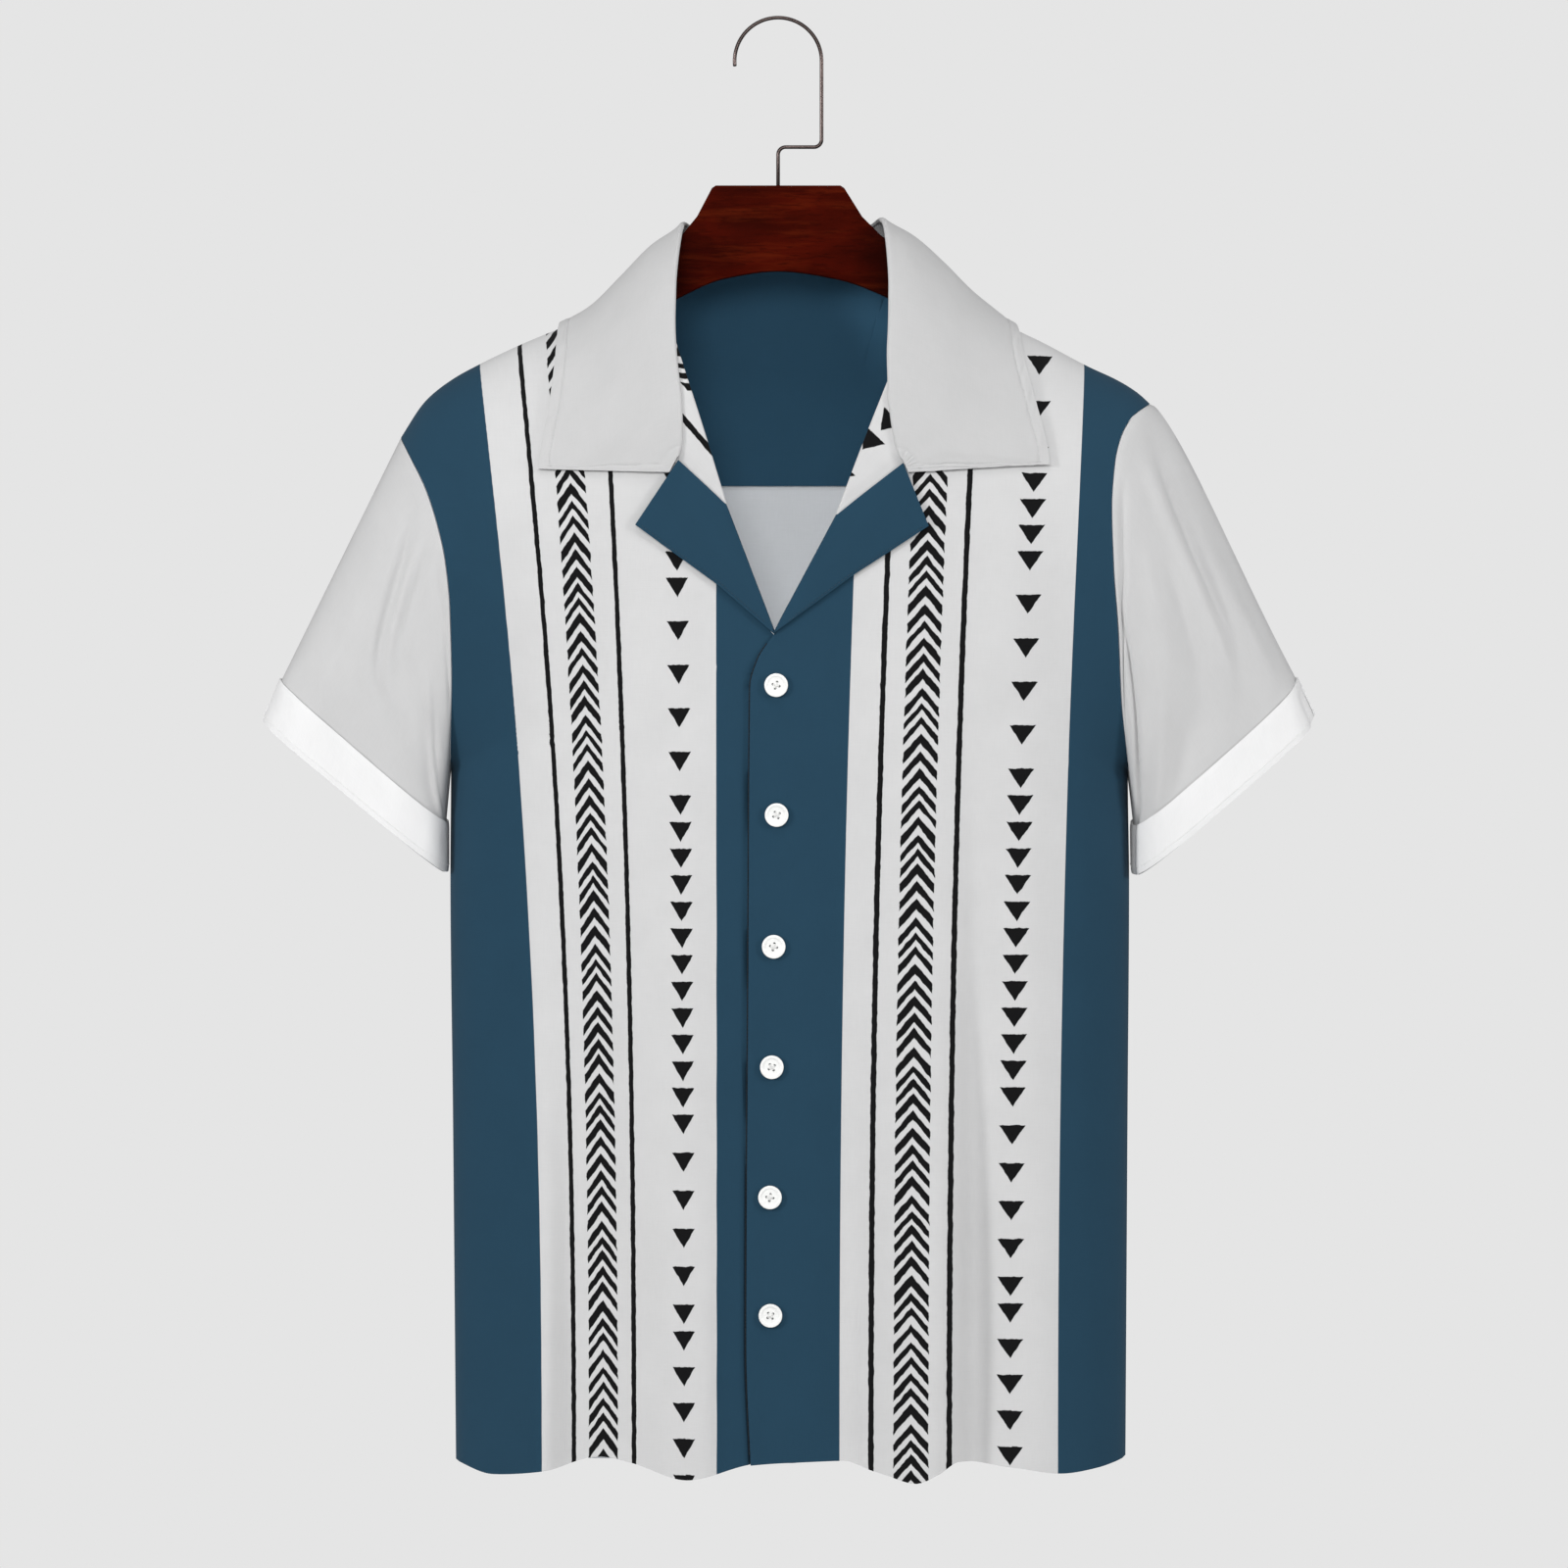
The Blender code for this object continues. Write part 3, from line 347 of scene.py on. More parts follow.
def turn_of(drop):
    over = np.arccos(np.clip(1 - drop / CROWN, 0, 1))
    return over + np.maximum(drop / CROWN - 1, 0)


def girth(drop):
    """Middle and half width of the body; its sides open towards the armholes."""
    z = SIDE_TOP - drop
    middle = (side_left(z) + side_right(z)) / 2
    half = (side_right(z) - side_left(z)) / 2
    reach = np.clip((SIDE_TOP - UNDERARM - drop) / ARM_REACH, 0, 1)
    opening = ARM_OPENING * np.sin(math.pi / 2 * reach) ** 1.2
    return middle, half / (1 - opening)


def folds(x, drop, z, front):
    """How far the folds stand out of the front or the back."""
    total = np.zeros(np.broadcast(x, drop).shape)
    for middle, width, height in FRONT_FOLDS if front else BACK_FOLDS:
        total = total + height * hump(x - middle, width)
    total = total * ramp(drop, FOLD_START, FOLD_END)
    for middle, width, height, z_middle, length in FRONT_DRAPE if front else BACK_DRAPE:
        total = total + height * hump(x - middle, width) * hump(z - z_middle, length)
    for middle, left, right, height, z_middle, length in FRONT_PLEATS if front else ():
        width = np.where(x < middle, left, right)
        total = total + height * hump(x - middle, width) * hump(z - z_middle, length)
    return total


def skin(side, turn):
    """Points of the body's surface."""
    side, turn = np.broadcast_arrays(np.asarray(side, float), np.asarray(turn, float))
    drop = drop_of(turn)
    middle, half = girth(drop)
    x = middle + half * np.sign(side) * np.abs(np.sin(side)) ** (2 / ROUNDNESS)
    z = ridge(x) - drop
    narrow = np.abs(np.cos(side)) ** (2 / ROUNDNESS)
    round_off = np.sin(np.minimum(np.abs(turn), math.pi / 2)) * narrow
    out = np.where(
        turn >= 0,
        -(front_depth(drop) + folds(x, drop, z, True) * narrow) * round_off,
        (back_depth(drop) + folds(x, drop, z, False) * narrow) * round_off,
    )
    return np.stack([x, out, z], -1)


def skin_normals(side, turn):
    nudge = 1e-4
    inward = -np.sign(side) * nudge + (np.asarray(side) == 0) * nudge
    here = skin(side, turn)
    along_side = (skin(side + inward, turn) - here) * np.sign(inward)[..., None]
    along_turn = skin(side, turn + nudge) - skin(side, turn - nudge)
    normal = np.cross(along_turn, along_side)
    return normal / np.linalg.norm(normal, axis=-1, keepdims=True)


def on_skin(grid):
    """Points and normals of the body's surface, for a grid of side and turn."""
    side, turn = grid[..., 0], grid[..., 1]
    return skin(side, turn), skin_normals(side, turn)


def on_body(points, back=False):
    """Side and turn of the body's points at x and z."""
    points = np.array(points, float)
    x, z = points[..., 0], points[..., 1]
    drop = np.maximum(ridge(x) - z, 0)
    middle, half = girth(drop)
    across = np.clip((x - middle) / half, -1, 1)
    side = np.sign(across) * np.arcsin(np.abs(across) ** (ROUNDNESS / 2))
    return np.stack([side, turn_of(drop) * (-1 if back else 1)], -1)


def coons(top, bottom, first, last, across, down):
    """A grid between four edges: top and bottom run across, first and last down."""
    u, v = np.meshgrid(across, down)
    u, v = u[..., None], v[..., None]
    edges_down = (1 - u) * first(down)[:, None] + u * last(down)[:, None]
    edges_across = (1 - v) * top(across)[None] + v * bottom(across)[None]
    ends_top = (1 - u) * top(np.array([0.0])) + u * top(np.array([1.0]))
    ends_bottom = (1 - u) * bottom(np.array([0.0])) + u * bottom(np.array([1.0]))
    return edges_down + edges_across - (1 - v) * ends_top - v * ends_bottom


def body_edge(points, back=False, straight=False):
    line = path(points, straight)
    return lambda t: on_body(line(t), back)


def outer_edge(sign, armhole, hem_end, back=False):
    """Down the armhole, and from its foot down the side seam to the hem."""
    x, z = hem_end
    drops = np.array([SIDE_TOP - UNDERARM, ridge(np.array(x)) - z])
    first, last = turn_of(drops) * (-1 if back else 1)

    def seam(t):
        return np.stack([np.full(np.shape(t), sign * SEAM_SIDE), first + (last - first) * t], -1)

    return joined(body_edge(armhole, back), seam, BREAK_ROW)


def armhole_line(points):
    """The armhole with its top on the shoulder ridge."""
    points = np.array(points, float)
    points[0, 1] = ridge(points[0, 0])
    return points


def keep_seams(grid, back=False):
    """Keeps a grid's points clear of the ridge and the side seams, where the body has an edge."""
    sign = -1 if back else 1
    grid[..., 1] = sign * np.maximum(sign * grid[..., 1], RIDGE_TURN)
    grid[..., 0] = np.clip(grid[..., 0], -SEAM_SIDE, SEAM_SIDE)
    return grid


def lap_lift(x, _z=None):
    """The lift of the front that laps over: a layer, and a little more along its edge."""
    return LAYER * (1 - ramp(x, *LAP_BLEND)) + LAP_RAISE * (1 - ramp(x, *LAP_RAISED))


lap_edge = curve([(z, x) for x, z in LAP_EDGE[::-1]])


def lap_crease(x, z):
    """The under front's dip along the edge that lies on it."""
    beside = x - lap_edge(z) - LAP_CREASE_AT
    return LAP_CREASE * hump(beside, LAP_CREASE_WIDTH) * ramp(-z, *LAP_CREASE_START)


def unit(vectors):
    return vectors / np.maximum(np.linalg.norm(vectors, axis=-1, keepdims=True), 1e-12)


def grid_normals(points, loop=False):
    """Normals of a grid of points, whose last column is its first again if it is a loop."""
    if loop:
        ring = points[:, :-1]
        across = np.roll(ring, -1, axis=1) - np.roll(ring, 1, axis=1)
        across = np.concatenate([across, across[:, :1]], axis=1)
    else:
        across = np.gradient(points, axis=1)
    return unit(np.cross(np.gradient(points, axis=0), across))


# ---- making pieces ----
def only(thing):
    bpy.ops.object.select_all(action="DESELECT")
    thing.select_set(True)
    bpy.context.view_layer.objects.active = thing


def added(add, name=None, **form):
    """A new primitive, alone selected, with its place and turn in its mesh."""
    bpy.ops.object.select_all(action="DESELECT")
    add(**form)
    thing = bpy.context.active_object
    bpy.ops.object.transform_apply(location=True, rotation=True, scale=True)
    if name:
        thing.name = thing.data.name = name
    return thing


def edit(thing, *steps):
    """Takes each step in edit mode, with the whole piece selected before it."""
    only(thing)
    bpy.ops.object.mode_set(mode="EDIT")
    for step in steps:
        bpy.ops.mesh.select_all(action="SELECT")
        step()
    bpy.ops.object.mode_set(mode="OBJECT")


def cut_across(x):
    return lambda: bpy.ops.mesh.bisect(plane_co=(x, 0, 0), plane_no=(1, 0, 0))


def turn_outwards():
    bpy.ops.mesh.normals_make_consistent(inside=False)


def apply_all(thing):
    only(thing)
    for modifier in list(thing.modifiers):
        bpy.ops.object.modifier_apply(modifier=modifier.name)


def round_edges(thing, width, segments, angle):
    """Bevels the edges that are sharper than the angle."""
    bevel = thing.modifiers.new("rounded edges", "BEVEL")
    bevel.width, bevel.segments = width, segments
    bevel.limit_method, bevel.angle_limit = "ANGLE", math.radians(angle)
    apply_all(thing)


def smooth(thing, angle=None):
    """Smooth shading, all over or only where the piece bends by less than the angle."""
    only(thing)
    if angle is None:
        bpy.ops.object.shade_smooth()
    else:
        bpy.ops.object.shade_smooth_by_angle(angle=math.radians(angle))


def points_of(thing):
    return np.array([vertex.co for vertex in thing.data.vertices])


def set_points(mesh, points):
    mesh.vertices.foreach_set("co", points.ravel())


def placed(name, mesh, look):
    mesh.materials.append(look)
    thing = bpy.data.objects.new(name, mesh)
    bpy.context.scene.collection.objects.link(thing)
    return thing


def finish_piece(thing, node=None):
    """Rides on the one body and stands for its CAD node, which it hides."""
    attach(thing, "root")
    if node:
        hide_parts(node)
    return thing


def cloth_piece(node, points, uv, outward, wall, looks, loop=False):
    """A grid shaped to the points, given a wall, with its own UV map in metres.

    The looks are those of its face and its reverse. outward is a normal at each
    point, used only to turn the faces to the outside."""
    rows, columns = points.shape[:2]
    thing = added(
        bpy.ops.mesh.primitive_grid_add, node + "_cloth",
        x_subdivisions=columns - 1, y_subdivisions=rows - 1, size=1.0,
    )
    mesh = thing.data
    set_points(mesh, points * MM)
    corner = np.empty(len(mesh.loops), np.int32)
    mesh.loops.foreach_get("vertex_index", corner)
    spread = uv.reshape(-1, 2)[corner].astype(np.float32)
    mesh.uv_layers.active.data.foreach_set("uv", spread.ravel())
    mesh.update()
    middle = (rows // 2) * columns + columns // 2
    face = min(mesh.polygons, key=lambda f: (f.center - mesh.vertices[middle].co).length)
    if np.dot(np.array(face.normal), outward.reshape(-1, 3)[middle]) < 0:
        mesh.flip_normals()
    if loop:
        edit(thing, lambda: bpy.ops.mesh.remove_doubles(threshold=1e-6))
    for look in looks:
        mesh.materials.append(look)
    layer = thing.modifiers.new("wall", "SOLIDIFY")
    layer.thickness, layer.offset = wall * MM, 0.0
    layer.use_even_offset, layer.material_offset = False, 1
    apply_all(thing)
    smooth(thing, 50)
    return finish_piece(thing, node)


# ---- stitches, whose sizes are shares of a stitch's length and thickness ----
STITCH_SIDES, STITCH_BEND, STITCH_TIP = 6, 0.3, 0.35


def stitch_form():
    """One stitch, 1 long along X and 1 thick: a round bar drawn in and down at both ends."""
    thing = added(
        bpy.ops.mesh.primitive_cylinder_add,
        vertices=STITCH_SIDES, radius=0.5, depth=1.0, rotation=(0, math.pi / 2, 0),
    )
    edit(thing, cut_across(-STITCH_BEND), cut_across(STITCH_BEND))
    points = points_of(thing)
    ends = np.abs(points[:, 0]) > 0.45
    points[ends, 1:] *= STITCH_TIP
    points[ends, 2] -= STITCH_TIP
    set_points(thing.data, points)
    return thing


def stitch_row(name, line, normals, look, thick, pitch=2.6, length=2.0, lift=0.1):
    """Stitches along a line of points, lying on the cloth whose normals are given."""
    run = run_length(line, 0)
    count = max(int(run[-1] / pitch), 1)
    at = (np.arange(count) + 0.5) * run[-1] / count

    def along(values):
        return np.stack([np.interp(at, run, column) for column in values.T], -1)

    tangents = unit(along(np.gradient(line, run, axis=0)))
    sides = unit(np.cross(unit(along(normals)), tangents))
    ups = np.cross(tangents, sides)
    form = stitch_form()
    shape = points_of(form)
    corners = (
        along(line)[:, None]
        + shape[None, :, 0:1] * tangents[:, None] * length
        + shape[None, :, 1:2] * sides[:, None] * thick
        + (shape[None, :, 2:3] * thick + lift) * ups[:, None]
    )
    faces = [list(polygon.vertices) for polygon in form.data.polygons]
    many = [[corner + k * len(shape) for corner in face] for k in range(count) for face in faces]
    mesh = bpy.data.meshes.new(name)
    mesh.from_pydata((corners.reshape(-1, 3) * MM).tolist(), [], many)
    bpy.data.objects.remove(form)
    thing = placed(name, mesh, look)
    smooth(thing)
    return finish_piece(thing)


# ---- materials ----
class Formula:
    """Writes arithmetic as nodes in a node tree."""

    def __init__(self, tree):
        self.tree = tree

    def feed(self, socket, value):
        """Links an output to the socket, or sets a plain value on it."""
        if isinstance(value, bpy.types.NodeSocket):
            self.tree.links.new(value, socket)
        else:
            socket.default_value = value

    def node(self, kind, **inputs):
        node = self.tree.nodes.new("ShaderNode" + kind)
        for name, value in inputs.items():
            self.feed(node.inputs[name.replace("_", " ")], value)
        return node

    def math(self, operation, *values, clamp=False):
        node = self.node("Math")
        node.operation, node.use_clamp = operation, clamp
        for socket, value in zip(node.inputs, values):
            self.feed(socket, value)
        return node.outputs[0]

    def plus(self, first, second):
        return self.math("ADD", first, second)

    def minus(self, first, second):
        return self.math("SUBTRACT", first, second)

    def times(self, first, second):
        return self.math("MULTIPLY", first, second)

    def over(self, first, second):
        return self.math("DIVIDE", first, second)

    def most(self, first, second):
        return self.math("MAXIMUM", first, second)

    def size(self, value):
        return self.math("ABSOLUTE", value)

    def sine(self, value):
        return self.math("SINE", value)

    def gap(self, first, second):
        return self.size(self.minus(first, second))

    def sway(self, noise, amount):
        """The noise about 0 instead of a half, times the amount."""
        return self.times(self.minus(noise, 0.5), amount)

    def less(self, value, limit, soft):
        """1 where value is under limit, 0 where it is over, over a soft edge."""
        return self.math("ADD", self.over(self.minus(limit, value), soft), 0.5, clamp=True)

    def mix(self, share, first, second):
        """The first colour, and as much of the second as the share says."""
        node = self.node("Mix")
        node.data_type = "RGBA"
        for number, value in ((0, share), (6, first), (7, second)):
            self.feed(node.inputs[number], value)
        return node.outputs[2]

    def noise(self, vector, scale, detail=2.0, rough=0.5):
        node = self.node("TexNoise", Vector=vector, Scale=scale, Detail=detail, Roughness=rough)
        return node.outputs["Fac"]

    def stretch(self, vector, scale):
        return self.node("Mapping", Vector=vector, Scale=scale).outputs["Vector"]

    def split(self, vector):
        return self.node("SeparateXYZ", Vector=vector).outputs

    def place(self):
        """Where on the piece a point is, in metres."""
        return self.node("TexCoord").outputs["Object"]

    def shared(self, group_tree):
        """The results of a node group on the piece's own UV map."""
        node = self.node("Group")
        node.node_tree = group_tree
        self.feed(node.inputs["UV"], self.node("UVMap").outputs["UV"])
        return node.outputs

    def relief(self, height, strength, distance):
        node = self.node("Bump", Height=height, Strength=strength, Distance=distance)
        return node.outputs["Normal"]


def linear(*srgb):
    """A colour of the shader from the 0-255 values that a screen shows."""
    values = [c / 255 for c in srgb]
    return (*(c / 12.92 if c <= 0.04045 else ((c + 0.055) / 1.055) ** 2.4 for c in values), 1.0)


def group(name, values, results):
    """A node group's writer, its inlets (a UV map and the values) and its outlets."""
    tree = bpy.data.node_groups.new(name, "ShaderNodeTree")
    tree.interface.new_socket("UV", in_out="INPUT", socket_type="NodeSocketVector")
    for socket, value in values.items():
        made = tree.interface.new_socket(socket, in_out="INPUT", socket_type="NodeSocketFloat")
        made.default_value = value
    for socket in results:
        tree.interface.new_socket(socket, in_out="OUTPUT", socket_type="NodeSocketFloat")
    inlet, outlet = tree.nodes.new("NodeGroupInput"), tree.nodes.new("NodeGroupOutput")
    return Formula(tree), inlet.outputs, outlet.inputs


def weave_group():
    """Plain weave with slubs from a UV map in metres: a height and a tint about 1."""
    f, given, result = group(
        "woven threads", {"Thread pitch": 0.0006, "Slub": 0.5}, ("Height", "Tint")
    )
    uv = given["UV"]
    way = f.split(uv)
    turns = f.over(math.pi, given["Thread pitch"])
    warp, weft = (f.size(f.sine(f.times(way[k], turns))) for k in (0, 1))
    threads = f.times(f.plus(warp, weft), 0.5)
    long_slub, cross_slub = (
        f.noise(f.stretch(uv, scale), 1.0) for scale in ((1400, 90, 1), (90, 1400, 1))
    )
    rough = f.sway(f.times(f.plus(long_slub, cross_slub), 0.5), given["Slub"])
    f.feed(result["Height"], f.plus(f.times(threads, 0.3), rough))
    broad = f.sway(f.noise(uv, 28.0, 3.0), 0.10)
    f.feed(result["Tint"], f.plus(f.plus(f.times(rough, 0.22), broad), 1.0))
    return f.tree


def print_group():
    """The printed bands from a UV map in metres.

    Its masks are the blue beside the bands and the black of the figures."""
    f, given, result = group("printed bands", {"Unevenness": 0.8}, ("Blue", "Black"))
    uv, uneven = given["UV"], given["Unevenness"]
    way = f.split(uv)
    wobble = f.sway(f.noise(uv, 140.0), uneven)
    wobble_up = f.sway(f.noise(f.stretch(uv, (1.3, 0.9, 1)), 190.0), uneven)
    plain_across = f.times(way[0], 1000.0)
    across = f.plus(plain_across, f.times(wobble, 1.6))
    up = f.plus(f.times(way[1], 1000.0), f.times(wobble_up, 2.2))
    blue = f.most(f.less(plain_across, 0.0, 0.35), f.less(PRINT_END, plain_across, 0.35))
    # two thin lines
    half = f.plus(PRINT_LINE_HALF, f.times(wobble_up, 0.6))
    black = f.most(*(f.less(f.gap(across, middle), half, 0.3) for middle in PRINT_LINES))
    # chevrons: stripes of one slope each side of the middle, in an uneven rhythm
    aside = f.gap(across, CHEVRON_MIDDLE)
    rise = f.plus(up, f.times(aside, CHEVRON_SLOPE))
    phase = f.over(rise, CHEVRON_PITCH)
    for height, length, start in CHEVRON_RHYTHM:
        wave = f.sine(f.plus(f.times(rise, 2 * math.pi / length), start))
        phase = f.plus(phase, f.times(wave, height))
    bold = f.sway(f.noise(uv, 55.0, 1.0), f.times(uneven, 0.34))
    stroke_at = f.gap(f.math("FRACT", phase), 0.5)
    stroke = f.less(stroke_at, f.plus(CHEVRON_SHARE / 2, bold), 0.05)
    inside = f.less(aside, f.plus(CHEVRON_HALF, f.times(wobble_up, 2.0)), 0.35)
    black = f.most(black, f.times(stroke, inside))
    # triangles: one at each whole count; the pitch changes at the heights of the rhythm
    pitch = spacing = TRIANGLE_RHYTHM[0][1]
    count = f.over(f.minus(up, TRIANGLE_FIRST), pitch)
    for height, next_pitch in TRIANGLE_RHYTHM[1:]:
        above = f.most(f.minus(up, height), 0.0)
        count = f.plus(count, f.times(above, 1 / next_pitch - 1 / pitch))
        past = f.math("GREATER_THAN", up, height)
        spacing = f.plus(spacing, f.times(past, next_pitch - pitch))
        pitch = next_pitch
    height = f.times(f.minus(f.math("FRACT", f.plus(count, 0.5)), 0.5), spacing)
    half = f.times(f.plus(height, TRIANGLE_TALL / 2), TRIANGLE_HALF / TRIANGLE_TALL)
    narrow = f.less(f.gap(across, TRIANGLE_MIDDLE), half, 0.4)
    below_top = f.less(height, TRIANGLE_TALL / 2, 0.3)
    black = f.most(black, f.times(narrow, below_top))
    f.feed(result["Blue"], blue)
    f.feed(result["Black"], f.times(black, f.minus(1.0, blue)))
    return f.tree


def new_look(name, **values):
    """A material, its writer and its shader, with plain values on the shader's sockets."""
    material = bpy.data.materials.new(name)
    material.use_nodes = True
    f = Formula(material.node_tree)
    f.tree.nodes.clear()
    shader = f.node("BsdfPrincipled", **values)
    f.node("OutputMaterial", Surface=shader.outputs["BSDF"])
    return material, f, shader.inputs


def cloth_look(name, colour, bump=0.5, printed=False):
    """Woven cotton of one colour, or with the printed bands on it."""
    material, f, shader = new_look(
        name, Roughness=0.9, Sheen_Weight=0.03, Sheen_Roughness=0.5, Specular_IOR_Level=0.12
    )
    threads, base = f.shared(weave), colour[:3]
    if printed:
        masks = f.shared(bands)
        base = f.mix(masks["Black"], f.mix(masks["Blue"], colour, BLUE), INK)
    tinted = f.node("VectorMath")
    tinted.operation = "SCALE"
    f.feed(tinted.inputs[0], base)
    f.feed(tinted.inputs["Scale"], threads["Tint"])
    f.feed(shader["Base Color"], tinted.outputs[0])
    f.feed(shader["Normal"], f.relief(threads["Height"], bump, 0.0003))
    return material


def thread_look(name, colour):
    material, f, shader = new_look(name, Roughness=0.7)
    twist = f.noise(f.stretch(f.place(), (2500, 2500, 2500)), 1.0)
    dark = (*(c * 0.8 for c in colour[:3]), 1.0)
    f.feed(shader["Base Color"], f.mix(twist, dark, colour))
    return material


def wood_look():
    material, f, shader = new_look("varnished dark wood", Specular_IOR_Level=0.01)
    place = f.place()
    grain = f.noise(f.stretch(place, (14, 160, 160)), 1.0, 6.0, 0.62)
    flame = f.noise(f.stretch(place, (16, 60, 46)), 1.0, 3.0)
    pores = f.noise(f.stretch(place, (120, 900, 900)), 1.0)
    deep, mid, light = linear(38, 4, 1), linear(62, 9, 2), linear(96, 32, 10)
    base = f.mix(f.less(0.47, flame, 0.3), deep, mid)
    base = f.mix(f.times(f.less(0.58, grain, 0.2), 0.45), base, light)
    base = f.mix(f.times(f.less(0.60, pores, 0.1), 0.5), base, deep)
    # painted shade: darker from 46 mm either side of the hook outwards, for the shade where the
    # collar meets the hanger
    from_middle = f.size(f.split(place)["X"])
    ends = f.math("MULTIPLY", f.minus(from_middle, 0.046), 36.0, clamp=True)
    f.feed(shader["Base Color"], f.mix(f.times(ends, 0.8), base, linear(14, 2, 0)))
    f.feed(shader["Roughness"], f.plus(0.42, f.times(grain, 0.2)))
    f.feed(shader["Normal"], f.relief(pores, 0.15, 0.0004))
    return material


def wire_look():
    material, f, shader = new_look("polished steel wire", Metallic=1.0)
    place = f.place()
    drawn = f.noise(f.stretch(place, (500, 500, 14)), 1.0)
    smear = f.noise(place, 60.0, 3.0)
    f.feed(shader["Base Color"], f.mix(smear, linear(52, 46, 44), linear(82, 72, 70)))
    f.feed(shader["Roughness"], f.plus(0.2, f.times(drawn, 0.1)))
    return material


def button_look():
    material, f, shader = new_look("polished white button", Coat_Weight=0.3)
    place = f.place()
    cloud = f.noise(f.stretch(place, (90, 90, 180)), 1.0, 3.0)
    f.feed(shader["Base Color"], f.mix(cloud, linear(218, 219, 217), linear(238, 238, 236)))
    f.feed(shader["Roughness"], f.plus(0.22, f.times(f.noise(place, 900.0), 0.12)))
    return material


weave, bands = weave_group(), print_group()
BLUE, WHITE, INK = linear(31, 60, 78), linear(192, 192, 192), linear(12, 12, 13)
printed_cotton = cloth_look("printed cotton", WHITE, printed=True)
blue_cotton = cloth_look("blue cotton", BLUE)
white_cotton = cloth_look("white cotton", linear(187, 187, 187))
# painted shade: the collar's white is a little darker than the other white cotton, for the shade
# on the collar
shaded_collar_cotton = cloth_look("white collar cotton", linear(182, 182, 182))
cuff_cotton = cloth_look("white cuff cotton", linear(216, 216, 216), bump=0.4)
# painted light: the reverse is a lighter white than the printed front, for light that does not
# reach inside the shirt
painted_light_reverse_cotton = cloth_look("reverse of the print", linear(234, 237, 240), bump=0.7)
# painted light: the inner blue is lighter than the outer blue, for light that does not reach
# inside the shirt
painted_light_inner_cotton = cloth_look("inner blue cotton", linear(47, 82, 105))
white_thread = thread_look("white thread", linear(232, 232, 230))
blue_thread = thread_look("blue thread", linear(28, 54, 72))
# painted shadow: a very dark thread laid beside the upper front's edge, for the line of shade
# there
painted_shadow_thread = thread_look("dark blue thread", linear(8, 17, 24))
seam_thread = thread_look("blue seam thread", linear(29, 56, 74))
shade_thread = thread_look("grey thread", linear(190, 190, 190))
dark_wood, steel_wire, white_button = wood_look(), wire_look(), button_look()


# ---- fronts, back and what lies on them ----
BREAK_ROW = 0.42  # where the armhole gives way to the side seam, and the neck to the lap
UPPER_ROWS = BREAK_ROW * np.linspace(0, 1, 96)[:-1] ** 1.15
ROWS = np.concatenate([UPPER_ROWS, np.linspace(BREAK_ROW, 1, 140)])


def print_uv(points, spec):
    """Metres across the printed band and up from the hem, for points of a front."""
    x, z = points[..., 0], points[..., 2]
    share = np.clip((z - PRINT_HEM_Z) / (PRINT_TOP_Z - PRINT_HEM_Z), 0, 1.2) ** PRINT_FLARE
    marks, at = [], []
    for (middle, half), hem, top in zip(PRINT_FIGURES, spec["hem"], spec["top"]):
        place = hem + (top - hem) * share
        marks += [middle - half, middle + half]
        at += [place - half * spec["width"], place + half * spec["width"]]
    across = np.where(x < at[0], marks[0] + (x - at[0]), marks[-1] + (x - at[-1]))
    for low, high, start, end in zip(marks[:-1], marks[1:], at[:-1], at[1:]):
        here = (x >= start) & (x < end)
        across = np.where(here, low + (high - low) * (x - start) / (end - start), across)
    return np.stack([across, z - PRINT_HEM_Z - spec["up"]], -1) * MM


def length_uv(points, even=False):
    """Metres along and down a grid, along even rows or along each as long as it is."""
    along = run_length(points, 1)
    if even:
        along = along.mean(axis=0, keepdims=True).repeat(len(points), 0)
    return np.stack([along, run_length(points, 0)], -1) * MM


def front(node, sign, armhole, neck, edge, hem, print_at, across, lift):
    armhole = armhole_line(armhole)
    shoulder = path([neck[0], armhole[0]])
    grid = keep_seams(coons(
        lambda t: on_body(np.stack([shoulder(t)[..., 0], ridge(shoulder(t)[..., 0])], -1)),
        body_edge(hem),
        joined(body_edge(neck), body_edge(edge), BREAK_ROW),
        outer_edge(sign, armhole, hem[-1]),
        across,
        ROWS,
    ))
    points, normals = on_skin(grid)
    points = points + normals * lift(points[..., 0], points[..., 2])[..., None]
    uv, looks = print_uv(points, print_at), (printed_cotton, painted_light_reverse_cotton)
    return cloth_piece(node, points, uv, normals, CLOTH, looks)


NECK_SHARE = (0.31, 0.69)  # the part of the back's top edge that is its neck
YOKE_COLUMNS, YOKE_ROWS, YOKE_WALL = slice(12, -12), 40, 0.8
# how far below the back's top edge the yoke starts, in rows, by the distance past the neck
YOKE_START = ((0, 1, 30), (0.03, 1.2, 14.0))


